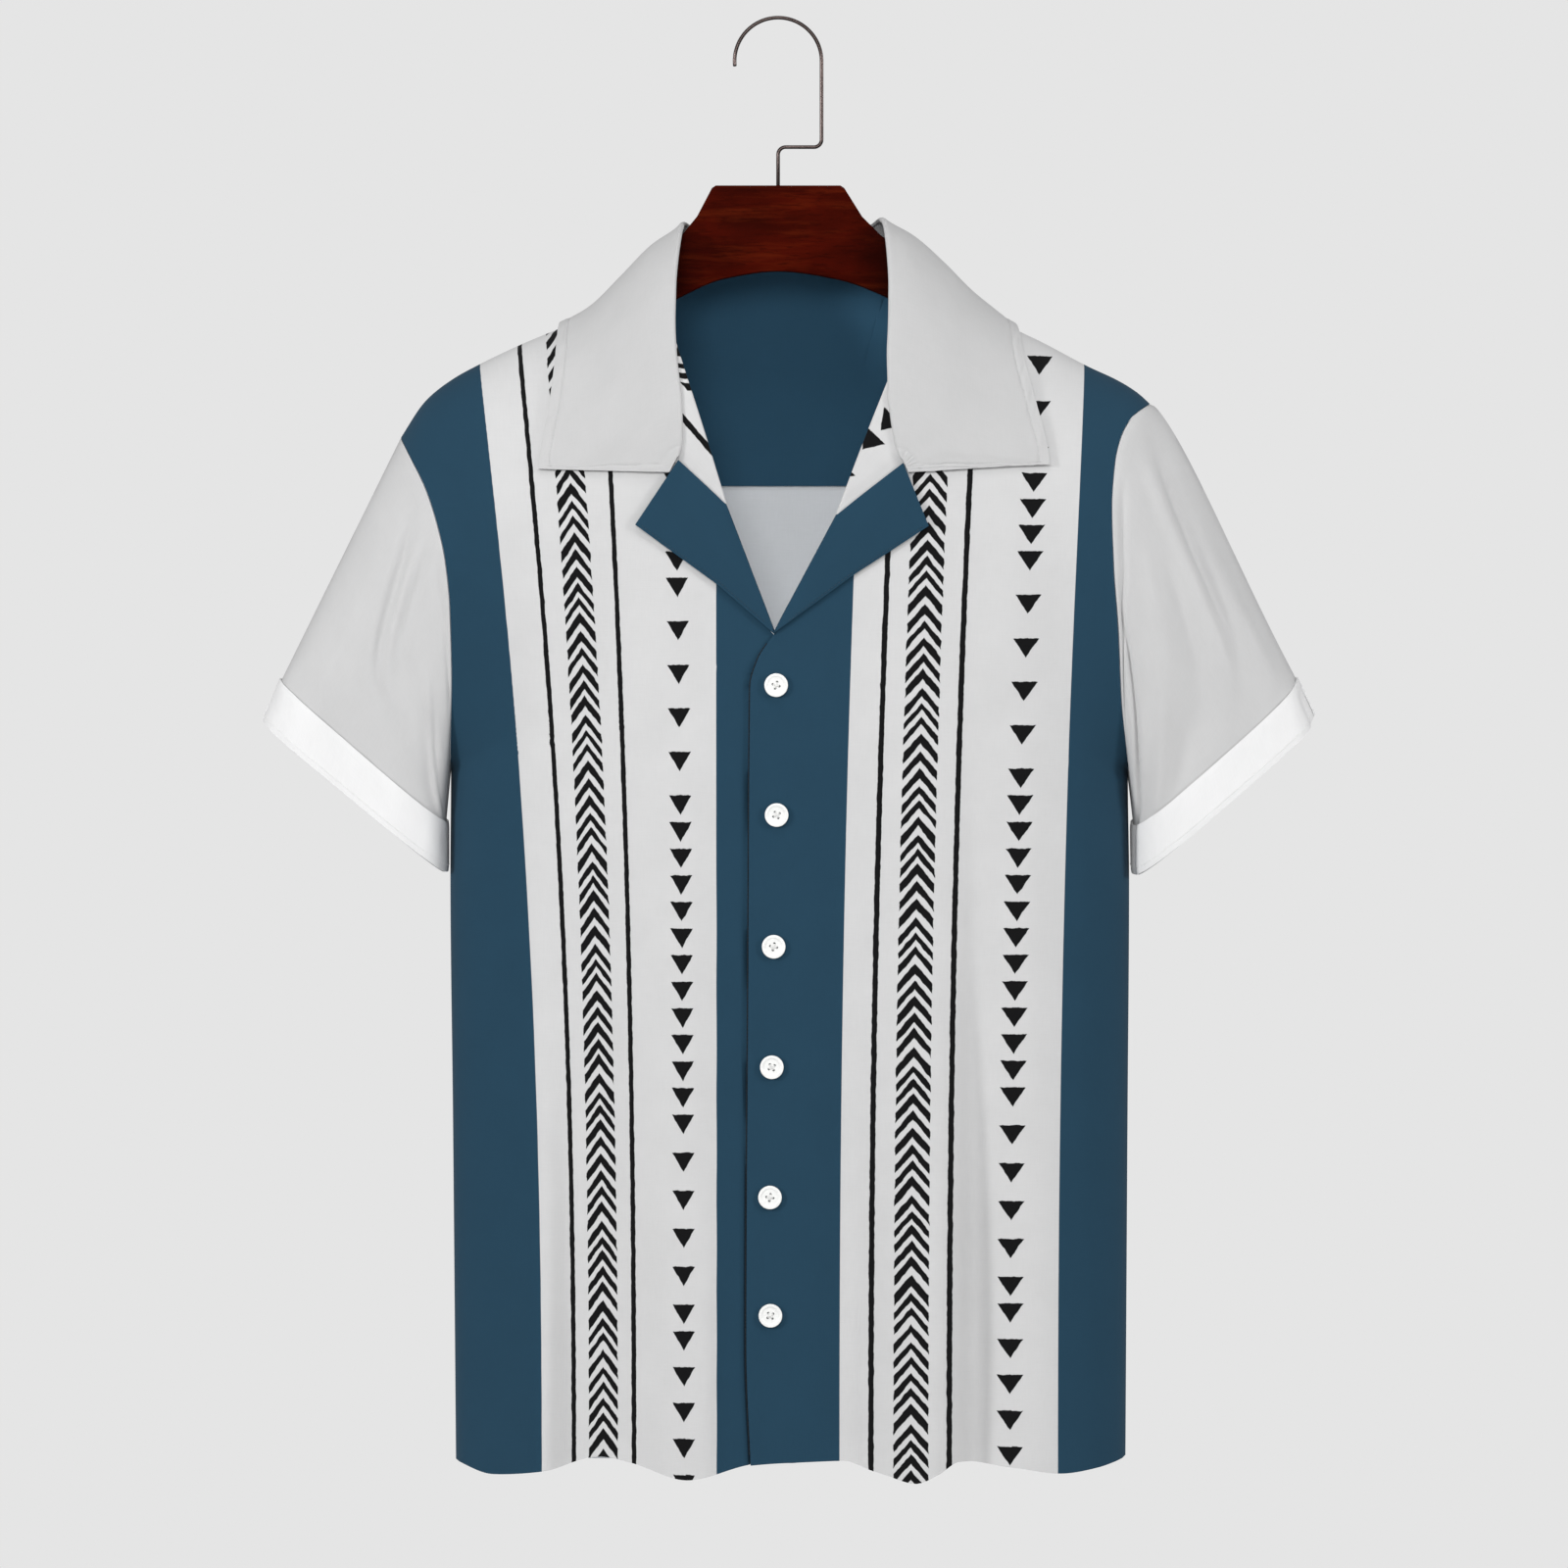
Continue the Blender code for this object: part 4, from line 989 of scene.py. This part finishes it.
def back():
    """The back, and the yoke facing that lies inside it below the neck."""
    left, right = armhole_line(ARMHOLE_LEFT), armhole_line(ARMHOLE_RIGHT)
    neck_from, neck_to = NECK_SHARE
    neck_left, neck_right = NECK_BACK[0][0], NECK_BACK[-1][0]

    def top(t):
        t = np.asarray(t, float)
        # at neck_from itself the second line holds, so that column starts further out
        x = np.where(
            t < neck_from,
            left[0][0] + (neck_left - left[0][0]) * t / neck_from,
            neck_right + (right[0][0] - neck_right) * (t - neck_to) / (1 - neck_to),
        )
        neck = path(NECK_BACK)(np.clip((t - neck_from) / (neck_to - neck_from), 0, 1))
        inside = ((t > neck_from) & (t < neck_to))[..., None]
        return on_body(np.where(inside, neck, np.stack([x, ridge(x)], -1)), True)

    grid = keep_seams(coons(
        top,
        body_edge(HEM_BACK, True),
        outer_edge(-1, left, HEM_BACK[0], True),
        outer_edge(1, right, HEM_BACK[-1], True),
        spans((neck_from, 44), (neck_to, 48), (1, 44)),
        ROWS,
    ), True)
    points, normals = on_skin(grid)
    uv, looks = points[..., ::2] * MM, (blue_cotton, painted_light_reverse_cotton)
    cloth = cloth_piece("back", points, uv, normals, CLOTH, looks)
    # the yoke's points are the back's own, moved in
    rows, columns = np.arange(len(points)), []
    inner = points + normals * YOKE_LIFT
    for j in range(points.shape[1])[YOKE_COLUMNS]:
        past_neck = max(points[0, j, 0] - neck_right, neck_left - points[0, j, 0])
        start = np.interp(past_neck, *YOKE_START)
        stop = np.interp(-YOKE_BOTTOM, -points[:, j, 2], rows)
        at = np.linspace(start, stop, YOKE_ROWS)
        columns.append(np.stack([np.interp(at, rows, column) for column in inner[:, j].T], -1))
    yoke = np.stack(columns, 1)
    uv, looks = yoke[..., ::2] * MM, (painted_light_inner_cotton, painted_light_inner_cotton)
    normals = grid_normals(yoke)
    yoke_cloth = cloth_piece("yoke_facing", yoke, uv, normals, YOKE_WALL, looks)
    return cloth, yoke_cloth


def rolled_edge(edge, normals, lift, towards, radius):
    """Rows of points that curl from under an edge out over it, in a half circle."""
    angle = np.linspace(0, math.pi, 7)[:-1, None, None]
    out, up = -np.sin(angle) * radius, -(1 + np.cos(angle)) * radius
    return edge + towards * out + normals * (lift[:, None] + up)


def flap(node, edges, lifts, counts, look, under=None, print_axis=None):
    """A piece that lies on the body, with its first edge rolled in under it."""
    across, down = (np.linspace(0, 1, count) for count in counts)
    grid = coons(*(body_edge(edge, straight=True) for edge in edges), across, down)
    base, normals = on_skin(grid)
    lift = lifts(*np.meshgrid(across, down))
    if under:
        lift = lift + under(base[..., 0])
    roll = rolled_edge(base[0], normals[0], lift[0], unit(base[2] - base[0]), FLAP_ROLL)
    points = np.concatenate([roll, base + normals * lift[..., None]])
    normals = np.concatenate([np.repeat(normals[:1], len(roll), axis=0), normals])
    uv = length_uv(points)
    if print_axis:
        (x, z), (up_x, up_z), (across_there, up_there) = print_axis
        x, z = points[..., 0] - x, points[..., 2] - z
        uv = np.stack([across_there + (x * up_z - z * up_x), up_there + (x * up_x + z * up_z)], -1)
        uv = uv * MM
    thing = cloth_piece(node, points, uv, normals, CLOTH, (look, look))
    return points, normals, thing


def lapel_lifts(u, v):
    """Raised in its middle and at its outer edge."""
    rise = np.sin(math.pi * np.clip(v, 0, 1)) * np.sin(math.pi * np.clip(u, 0, 1)) ** 0.5
    return LAPEL_LIFT + LAPEL_ROLL * rise + LAPEL_EDGE * ramp(v, 0.8, 1.0)


def lapel(node, shape, under=None):
    (roll_top, roll_foot), (notch, tip) = shape["roll"], shape["top"]
    edges = ([roll_top, roll_foot], [notch, tip], [roll_top, notch], shape["outer"])
    return flap(node, edges, lapel_lifts, (50, 34), blue_cotton, under)


def neck_facing(node, shape, print_axis, under=None):
    (roll_top, roll_foot), (tuck_top, tuck_foot) = shape["roll"], shape["tuck"]
    edges = ([roll_top, roll_foot], [tuck_top, tuck_foot])
    edges += ([roll_top, tuck_top], [roll_foot, tuck_foot])

    def lifts(u, v):
        return FACING_LIFT - FACING_TUCK * ramp(u, 0.8, 0.97)

    look, slot = printed_cotton, "printed_cotton"
    return flap(node, edges, lifts, (40, 18), look, under, print_axis)[2]


# ---- collar ----
LAST_STATION = len(COLLAR_STATIONS) - 1
COLLAR_CORNER = 3  # the station of a collar leaf's point
TOPSTITCH_IN = 7.0  # from the collar's edges to its top stitching


def collar_columns(start, end):
    """Columns between two stations: side, turn and lift of the fold, and of the edge."""
    values = []
    for k, (x_fold, z_fold, lift_fold, x_edge, z_edge, lift_edge, _) in enumerate(COLLAR_STATIONS):
        past_ridge = RIDGE_STATION <= k <= LAST_STATION - RIDGE_STATION
        if past_ridge:
            z_fold, z_edge = ridge(np.array(x_fold)) - z_fold, ridge(np.array(x_edge)) - z_edge
        fold, edge = (on_body(place, past_ridge) for place in ((x_fold, z_fold), (x_edge, z_edge)))
        values.append([*fold, lift_fold, *edge, lift_edge])
    values, numbers = np.array(values), np.arange(LAST_STATION + 1.0)
    counts = [row[-1] for row in COLLAR_STATIONS[:-1]]
    steps = [k + np.arange(1, count + 1) / count for k, count in enumerate(counts)]
    places = np.concatenate(steps)
    between = places[(places > start) & (places < end)]
    places = np.unique(np.concatenate([[start], between, [end]]))
    # smooth round the back, from one leaf's point to the other's
    middle = slice(COLLAR_CORNER, LAST_STATION - COLLAR_CORNER + 1)
    flat = (places < COLLAR_CORNER) | (places > LAST_STATION - COLLAR_CORNER)
    columns = np.stack([
        curve(np.stack([numbers[middle], value[middle]], -1))(places) for value in values.T
    ], -1)
    # straight between the stations in front
    columns[flat] = np.stack([np.interp(places[flat], numbers, value) for value in values.T], -1)
    for k in (0, 3):
        x, _, z = skin(values[:, k], values[:, k + 1]).T
        line = np.stack([np.interp(places[flat], numbers, value) for value in (x, z)], -1)
        columns[flat, k:k + 2] = on_body(line)
    return places, columns


def collar():
    """The collar's fall, with a turned and topstitched edge that puckers a little."""
    _, columns = collar_columns(0.0, LAST_STATION)
    v = spans((0.86, 34), (1, 20))[:, None]
    fold, edge = columns[:, :3], columns[:, 3:]
    side, turn = (fold[:, k] + (edge[:, k] - fold[:, k]) * v for k in (0, 1))
    lift = edge[:, 2] + (fold[:, 2] - edge[:, 2]) * (1 - v) ** 1.2
    base, normals = on_skin(np.stack([side, turn], -1))
    points = base + normals * lift[..., None]
    from_edge = run_length(points[::-1], 0)[::-1]
    along = run_length(points, 1)
    from_end = np.minimum(along, along[:, -1:] - along)
    inwards = np.minimum(from_edge, from_end + 100 * (from_end > 60))
    # a seam allowance fills the edge, and the top stitching draws it in
    relief = (
        -0.35 * hump(inwards - TOPSTITCH_IN, 1.1)
        + 0.22 * (1 - ramp(inwards, 3.5, TOPSTITCH_IN))
        + 0.34 * ripple(along * 0.55, 3.0) * hump(inwards - TOPSTITCH_IN + 2.5, 4.0)
        + 0.7 * ripple(along * 0.06 + from_edge * 0.05, 1.0) * ramp(inwards, 8, 24)
    )
    points = points + normals * relief[..., None]
    foot = points[0] - normals[0] * lift[0][:, None]
    roll = rolled_edge(foot, normals[0], lift[0], unit(base[3] - base[0]), COLLAR_ROLL)
    rolled = np.concatenate([roll, points])
    outward = np.concatenate([np.repeat(normals[:1], len(roll), axis=0), normals])
    uv, looks = length_uv(rolled, even=True), (shaded_collar_cotton, shaded_collar_cotton)
    thing = cloth_piece("collar", rolled, uv, outward, COLLAR_CLOTH, looks)
    # the row of points nearest to the top stitching, short of both ends
    at = np.flatnonzero(from_end.min(axis=0) >= TOPSTITCH_IN - 0.5)
    rows = np.abs(from_edge[:, at] - TOPSTITCH_IN).argmin(axis=0)
    line = points[rows, at] + normals[rows, at] * COLLAR_CLOTH / 2
    stitch_row("collar_top_stitching", line, normals[rows, at], shade_thread, 0.35)
    return thing


def collar_stand():
    """The band from the neck seam up to the collar's fold."""
    places, columns = collar_columns(STAND_END, LAST_STATION - STAND_END)
    last_ridge = LAST_STATION - RIDGE_STATION
    left = path(NECK_LEFT)(np.linspace(0, 0.35, 200))
    right = path(NECK_RIGHT)(np.linspace(0, 0.4, 200))
    seam = []
    for place, (side, turn, *_) in zip(places, columns):
        if RIDGE_STATION <= place <= last_ridge:
            share = (place - RIDGE_STATION) / (last_ridge - RIDGE_STATION)
            seam.append(on_body(path(NECK_BACK)(np.array(share)), True))
        else:
            line, highest = (left, -150.5) if place < RIDGE_STATION else (right, -145.5)
            below = line[:, 1] - min(skin(side, turn)[2], highest)
            seam.append(on_body(line[np.argmin(np.abs(below))]))
    foot = skin(*np.array(seam).T)
    fold, normals = on_skin(columns[:, :2])
    top = fold + normals * (columns[:, 2] - STAND_TUCK)[:, None]
    points = foot + (top - foot) * np.linspace(0, 1, 14)[:, None, None]
    normals, looks = grid_normals(points), (white_cotton, white_cotton)
    return cloth_piece(
        "collar_stand", points, length_uv(points), normals, 1.0, looks
    )


# ---- sleeves ----
SLEEVE_COLUMNS, SLEEVE_ROWS, CUFF_ROWS, CUFF_CLOTH = 144, 80, 22, 1.1
# soft folds of a sleeve: angle round it at the armhole and at the cuff's seam, width,
# height, and the shares down the sleeve over which it comes and goes
SLEEVE_FOLDS = {
    "left": (
        (26, 112, 6, -2.6, 0.04, 0.75), (50, 124, 6, -2.2, 0.0, 0.6),
        (38, 119, 5, 1.8, 0.1, 0.85), (96, 142, 13, -2.4, 0.4, 1.0),
        (70, 158, 7, 1.8, 0.3, 1.1), (12, 66, 12, 1.4, 0.2, 1.1),
        (300, 250, 16, 2.2, 0.1, 1.1), (330, 290, 14, -1.8, 0.1, 1.0),
    ),
    "right": (
        (6, 62, 5, -3.0, 0.02, 0.8), (17, 78, 6, 2.2, 0.05, 0.9),
        (34, 104, 8, -2.6, 0.25, 1.1), (56, 128, 9, 2.0, 0.1, 1.1),
        (100, 163, 6, -2.8, 0.0, 1.12), (4, 36, 8, 1.6, 0.3, 1.0),
        (300, 240, 16, 2.2, 0.1, 1.1), (330, 285, 14, -1.8, 0.1, 1.0),
    ),
}
# a crease beside the armhole: how far from it, its width and depth, and the angles it spans
ARMHOLE_CREASE = {"left": (9.0, 4.0, -0.8, 60, 150), "right": (8.5, 3.2, -2.0, 35, 172)}
# dents of a cuff: angle, width, height
CUFF_DENTS = {
    "left": ((18, 16, -1.2), (60, 14, 0.8), (120, 10, -0.8)),
    "right": ((12, 13, -3.2), (40, 12, 1.6), (166, 6, -1.6)),
}


def armhole_ring(spec):
    """The sleeve's first ring: just off the armhole, over its front and back under it."""
    share = np.linspace(0, 1, SLEEVE_COLUMNS // 2 + 1)
    line = path(armhole_line(spec["armhole"]))(share)
    front_half, back_half = skin(*on_body(line).T), skin(*on_body(line, True).T)
    ring = np.concatenate([front_half, back_half[-2:0:-1]])
    low = np.concatenate([share, share[-2:0:-1]])
    out, down = spec["out"] * (0.45 + 0.55 * low), -0.89 * (1 - low) - 0.05
    away = unit(np.stack([out, np.zeros(len(ring)), down], -1))
    return ring + away * (SLEEVE_START + CLOTH * 0.5 * low)[:, None]


def oval_ring(ends, sag):
    """A flat, round-cornered ring between its outer and inner ends, its front hanging lower."""
    outer, inner = (np.array([x, 0.0, z]) for x, z in ends)
    angle = np.linspace(0, 2 * math.pi, SLEEVE_COLUMNS, endpoint=False)[:, None]
    across, forward = (
        np.sign(w) * np.abs(w) ** (2 / SLEEVE_ROUNDNESS) for w in (np.cos(angle), np.sin(angle))
    )
    depth = np.array([0, -SLEEVE_HALF_DEPTH, 0])
    ring = (outer + inner) / 2 + (outer - inner) / 2 * across + depth * forward
    ring[:, 2] -= sag * np.maximum(forward[:, 0], 0)
    return ring


def sleeve(name):
    """A sleeve from its armhole to its end, and the cuff that lies over its foot."""
    spec = SLEEVES[name]
    start = armhole_ring(spec)
    seam, end = (oval_ring(spec[key], spec["sag"]) for key in ("seam", "end"))
    down = np.linspace(0, 1, SLEEVE_ROWS + 1)[:, None]
    below = np.linspace(0, 1, CUFF_ROWS + 1)[1:, None]
    angle = np.linspace(0, 2 * math.pi, SLEEVE_COLUMNS, endpoint=False)
    push = spec["bulge"] * np.sqrt(down) * (1 - down) ** 2 * np.cos(angle / 2) ** 4
    points = start + (seam - start) * down[..., None]
    points = points + push[..., None] * np.array([spec["out"] * 0.88, 0, 0.48])
    points = np.concatenate([points, seam + (end - seam) * below[..., None]])
    points = np.concatenate([points, points[:, :1]], axis=1)
    normals = grid_normals(points, True)
    if ((points - points.mean(axis=1, keepdims=True)) * normals).sum() < 0:
        normals = -normals
    share = np.concatenate([down, 1 + below * 0.15])
    degrees = np.degrees(np.append(angle, 2 * math.pi))[None]
    relief = np.zeros(points.shape[:2])
    for first, last, width, height, come, go in SLEEVE_FOLDS[name]:
        span = ramp(share, come, come + 0.2) * (1 - ramp(share, go - 0.25, go))
        relief += height * span * hump(degrees - (first + (last - first) * share), width)
    out, width, depth, low, high = ARMHOLE_CREASE[name]
    beside = ramp(degrees, low, low + 25) * (1 - ramp(degrees, high - 20, high))
    relief += depth * beside * hump(run_length(points, 0) - out, width)
    for at, width, height in CUFF_DENTS[name]:
        relief += height * ramp(share, 0.97, 1.08) * hump(degrees - at, width)
    points = points + normals * relief[..., None]
    uv, looks = length_uv(points, even=True), (white_cotton, painted_light_reverse_cotton)
    cloth = cloth_piece(
        "sleeve_" + name, points, uv, normals, CLOTH, looks, loop=True
    )
    # the cuff: proud of the sleeve, with soft edges top and bottom
    around = run_length(points, 1)
    points, normals, uv, around = (grid[SLEEVE_ROWS:] for grid in (points, normals, uv, around))
    rows = np.arange(len(points))[:, None]
    swell = LAYER + 0.35 * ramp(np.minimum(rows, rows[::-1]), 0, 3)
    swell = swell + 0.15 * ripple(around * 0.35, 5.0)
    points, looks = points + normals * swell[..., None], (cuff_cotton, cuff_cotton)
    cuff = cloth_piece(
        "cuff_" + name, points, uv, normals, CUFF_CLOTH, looks, loop=True
    )
    line = points[-4] + normals[-4] * CUFF_CLOTH / 2
    stitch_row(f"cuff_{name}_stitching", line, normals[-4], white_thread, 0.32)
    return cloth, cuff


# ---- buttons ----
def button_form():
    """A four-hole button 1 mm to the unit, its back at z = 0, from a cylinder."""
    thing = added(
        bpy.ops.mesh.primitive_cylinder_add,
        vertices=48, radius=BUTTON_RADIUS, depth=BUTTON_THICK, location=(0, 0, BUTTON_THICK / 2),
    )
    bpy.ops.object.mode_set(mode="EDIT")
    bpy.ops.mesh.select_mode(type="FACE")
    bpy.ops.mesh.select_all(action="DESELECT")
    bpy.ops.object.mode_set(mode="OBJECT")
    for polygon in thing.data.polygons:
        polygon.select = polygon.normal.z > 0.9
    bpy.ops.object.mode_set(mode="EDIT")
    bpy.ops.mesh.inset(thickness=BUTTON_RIM, depth=0.0)
    bpy.ops.mesh.inset(thickness=0.5, depth=-BUTTON_DISH)
    bpy.ops.object.mode_set(mode="OBJECT")
    round_edges(thing, 0.35, 3, 30)
    for x, y in ((-1, -1), (-1, 1), (1, -1), (1, 1)):
        drill = added(
            bpy.ops.mesh.primitive_cylinder_add, vertices=16, radius=BUTTON_HOLE_RADIUS, depth=6,
            location=(x * BUTTON_HOLE_PITCH / 2, y * BUTTON_HOLE_PITCH / 2, 1),
        )
        hole = thing.modifiers.new("hole", "BOOLEAN")
        hole.object, hole.operation, hole.solver = drill, "DIFFERENCE", "EXACT"
        apply_all(thing)
        bpy.data.objects.remove(drill)
    smooth(thing, 35)
    return thing


def thread_form():
    """Two pairs of strands that cross between the holes, 1 mm to the unit."""
    strands = []
    for turn, over in ((45, 0.0), (-45, 0.35)):
        c, s = math.cos(math.radians(turn)), math.sin(math.radians(turn))
        for off in (-0.28, 0.28):
            strand = added(
                bpy.ops.mesh.primitive_cylinder_add, vertices=8, radius=0.26,
                depth=BUTTON_HOLE_PITCH / 2 * 2.83 + 0.3, rotation=(0, math.pi / 2, 0),
            )
            edit(strand, *(cut_across(float(at)) for at in np.linspace(-1.6, 1.6, 9)))
            x, y, z = points_of(strand).T
            y = y + off
            z = z + 1.95 - 0.045 * np.abs(x) ** 4 + over * hump(np.hypot(x, y), 0.9)
            set_points(strand.data, np.stack([c * x - s * y, s * x + c * y, z], -1))
            strands.append(strand)
    for strand in strands:
        strand.select_set(True)
    bpy.context.view_layer.objects.active = strands[0]
    bpy.ops.object.join()
    smooth(strands[0])
    return strands[0]


def buttons():
    disc, thread = button_form(), thread_form()
    for number, place in enumerate(BUTTONS, 1):
        at, normal = on_skin(on_body(place))
        across = unit(np.cross((0, 0, 1), normal))
        axes = np.stack([across, np.cross(normal, across), normal])
        spin = math.radians((number * 47) % 90 - 20)
        c, s = math.cos(spin), math.sin(spin)
        turned = np.array([[c, s, 0], [-s, c, 0], [0, 0, 1]])
        foot = at + normal * (LAYER + CLOTH / 2 + BUTTON_SHANK)
        for form, label, look, node in (
            (disc, "button", white_button, f"button_{number}"),
            (thread, "button_thread", white_thread, None),
        ):
            mesh = form.data.copy()
            set_points(mesh, (points_of(form) @ turned @ axes + foot) * MM)
            finish_piece(placed(f"{label}_{number}_sewn", mesh, look), node)
    for form in (disc, thread):
        bpy.data.objects.remove(form)


# ---- hanger and hook ----
def hanger():
    """A board with the outline of the tables and rounded edges."""
    top, rows = np.array(HANGER_TOP, float), 9
    xs = np.unique(np.concatenate([top[:, 0], np.linspace(-206, 209, 84)]))
    tops, feet = np.interp(xs, *top.T), curve(HANGER_FOOT)(xs)
    z = feet + (tops - feet) * np.linspace(0, 1, rows)[:, None]
    thing = added(
        bpy.ops.mesh.primitive_grid_add, "hanger_wood",
        x_subdivisions=len(xs) - 1, y_subdivisions=rows - 1, size=1.0,
    )
    set_points(thing.data, np.stack([np.broadcast_to(xs, z.shape), np.zeros(z.shape), z], -1) * MM)
    board = thing.modifiers.new("board", "SOLIDIFY")
    board.thickness, board.offset = 2 * HANGER_HALF_DEPTH * MM, 0.0
    round_edges(thing, HANGER_EDGE * MM, 4, 60)
    edit(thing, turn_outwards)
    smooth(thing, 40)
    thing.data.materials.append(dark_wood)
    finish_piece(thing, "hanger")


def hook():
    """Bent from one wire: from its free tip over the top, down the leg and round two bends."""
    radius, bend, low, wire, foot = (
        size * MM for size in (HOOK_RADIUS, HOOK_BEND, HOOK_LEG_FOOT, WIRE_RADIUS, HOOK_FOOT)
    )
    centre, tip = wire - radius, math.radians(HOOK_TIP_ANGLE)

    def spin(steps, angle, x, z):
        bpy.ops.mesh.spin(steps=steps, angle=angle, center=(x, 0, z), axis=(0, 1, 0))

    def draw_out(x, z):
        bpy.ops.mesh.extrude_region_move(TRANSFORM_OT_translate={"value": (x, 0, z)})

    def bend_wire():
        bpy.ops.mesh.select_mode(type="FACE")
        spin(72, -tip, 0, centre)
        draw_out(0, low + bend - centre)
        spin(12, -math.pi / 2, radius - bend, low + bend)
        draw_out(2 * bend - radius, 0)
        spin(12, math.pi / 2, bend, low - bend)
        draw_out(0, foot - (low - bend))

    thing = added(
        bpy.ops.mesh.primitive_circle_add, "hook_wire", vertices=20, radius=wire, fill_type="NGON",
        location=(radius * math.cos(tip), 0, centre + radius * math.sin(tip)),
        rotation=(0, -tip, 0),
    )
    edit(thing, bend_wire, turn_outwards)
    round_edges(thing, HOOK_EDGE * MM, 3, 60)
    smooth(thing, 40)
    thing.data.materials.append(steel_wire)
    finish_piece(thing, "hook")


# ---- all the pieces ----
left_front = front(
    "front_left", -1, ARMHOLE_LEFT, NECK_LEFT, UNDER_EDGE, HEM_LEFT, PRINT_LEFT,
    spans((0.125, 12), (0.168, 36), (1, 76)), lap_crease,
)
right_front = front(
    "front_right", 1, ARMHOLE_RIGHT, NECK_RIGHT, LAP_EDGE, HEM_RIGHT, PRINT_RIGHT,
    spans((1, 78)), lap_lift,
)
back_cloth, yoke_cloth = back()
left_points, left_normals, left_lapel = lapel("lapel_left", LAPEL_LEFT)
right_points, right_normals, right_lapel = lapel("lapel_right", LAPEL_RIGHT, lap_lift)
for name, points, normals in (
    ("left", left_points, left_normals), ("right", right_points, right_normals),
):
    line = points[8:-1, -3] + normals[8:-1, -3] * CLOTH / 2
    stitch_row(f"lapel_{name}_stitching", line, normals[8:-1, -3], blue_thread, 0.32)
# the side seams
for name, side_line, out, hem in (
    ("left", side_left, -1, HEM_LEFT), ("right", side_right, 1, HEM_RIGHT),
):
    z = np.linspace(UNDERARM - 4, hem[-1][1] + 1, 200)
    line = np.stack([side_line(z), 0 * z, z], -1)
    normals = np.tile((float(out), 0.0, 0.0), (len(z), 1))
    stitch_row(f"side_seam_{name}", line, normals, seam_thread, 0.9, 2.4, 2.4, -0.1)
# a dark thread along the upper front's edge, on the under front: painted shadow, the dark line of
# shade beside that edge
z = np.linspace(-402, -919, 260)
line, normals = on_skin(on_body(np.stack([lap_edge(z) - 0.45, z], -1)))
stitch_row("lap_edge_shadow_cord", line + normals * 0.85, normals, painted_shadow_thread, 0.7, 2.2, 2.2, 0.0)
left_facing = neck_facing("neck_facing_left", FACING_LEFT, FACING_PRINT_LEFT)
right_facing = neck_facing("neck_facing_right", FACING_RIGHT, FACING_PRINT_RIGHT, lap_lift)
collar_cloth, stand_cloth = collar(), collar_stand()
left_sleeve, left_cuff = sleeve("left")
right_sleeve, right_cuff = sleeve("right")
buttons()
hanger()
hook()


# ---- stage ----
def area_light(name, place, aim, size, power):
    bpy.ops.object.light_add(type="AREA", location=place)
    lamp = bpy.context.active_object
    lamp.name = name
    lamp.data.shape, lamp.data.size, lamp.data.energy = "DISK", size, power
    way = np.array(aim, float) - np.array(place, float)
    pitch = math.atan2(math.hypot(way[0], way[1]), -way[2])
    lamp.rotation_euler = (pitch, 0, math.atan2(way[1], way[0]) - math.pi / 2)


scene = bpy.context.scene
scene.view_settings.view_transform = "Standard"
world = bpy.data.worlds.new("pale studio")
world.use_nodes = True
sky = world.node_tree
seen = sky.nodes["Background"]
seen.inputs["Color"].default_value = linear(229, 229, 229)
lit = sky.nodes.new("ShaderNodeBackground")
lit.inputs["Color"].default_value = (0.33, 0.33, 0.335, 1.0)
either = sky.nodes.new("ShaderNodeMixShader")
sky.links.new(sky.nodes.new("ShaderNodeLightPath").outputs["Is Camera Ray"], either.inputs["Fac"])
sky.links.new(lit.outputs["Background"], either.inputs[1])
sky.links.new(seen.outputs["Background"], either.inputs[2])
sky.links.new(either.outputs["Shader"], sky.nodes["World Output"].inputs["Surface"])
scene.world = world

floor = added(
    bpy.ops.mesh.primitive_circle_add, "studio_floor",
    vertices=96, radius=2.4, fill_type="NGON", location=(0, 0, -1.35),
)
paper, f, shader = new_look("studio paper", Roughness=0.9)
speck = f.noise(f.place(), 90.0, 3.0)
f.feed(shader["Base Color"], f.mix(speck, linear(222, 222, 222), linear(230, 230, 230)))
floor.data.materials.append(paper)

area_light("key", (-3.6, -2.6, 0.5), (0, 0, -0.5), 0.8, 98)
area_light("front", (-0.2, -2.2, 0.35), (0, 0, -0.45), 0.9, 19)
area_light("side", (4.2, -2.1, 0.7), (0, 0, -0.5), 1.1, 92)
area_light("above", (0.0, -1.5, 2.6), (0, 0, -0.4), 1.6, 27)

camera = bpy.data.cameras.new("camera")
camera.lens, camera.sensor_width, camera.clip_end = 214.3, 36.0, 50.0
viewer = bpy.data.objects.new("camera", camera)
viewer.location, viewer.rotation_euler = (0.0038, -6.0, -0.4914), (math.pi / 2, 0, 0)
scene.collection.objects.link(viewer)
scene.camera = viewer
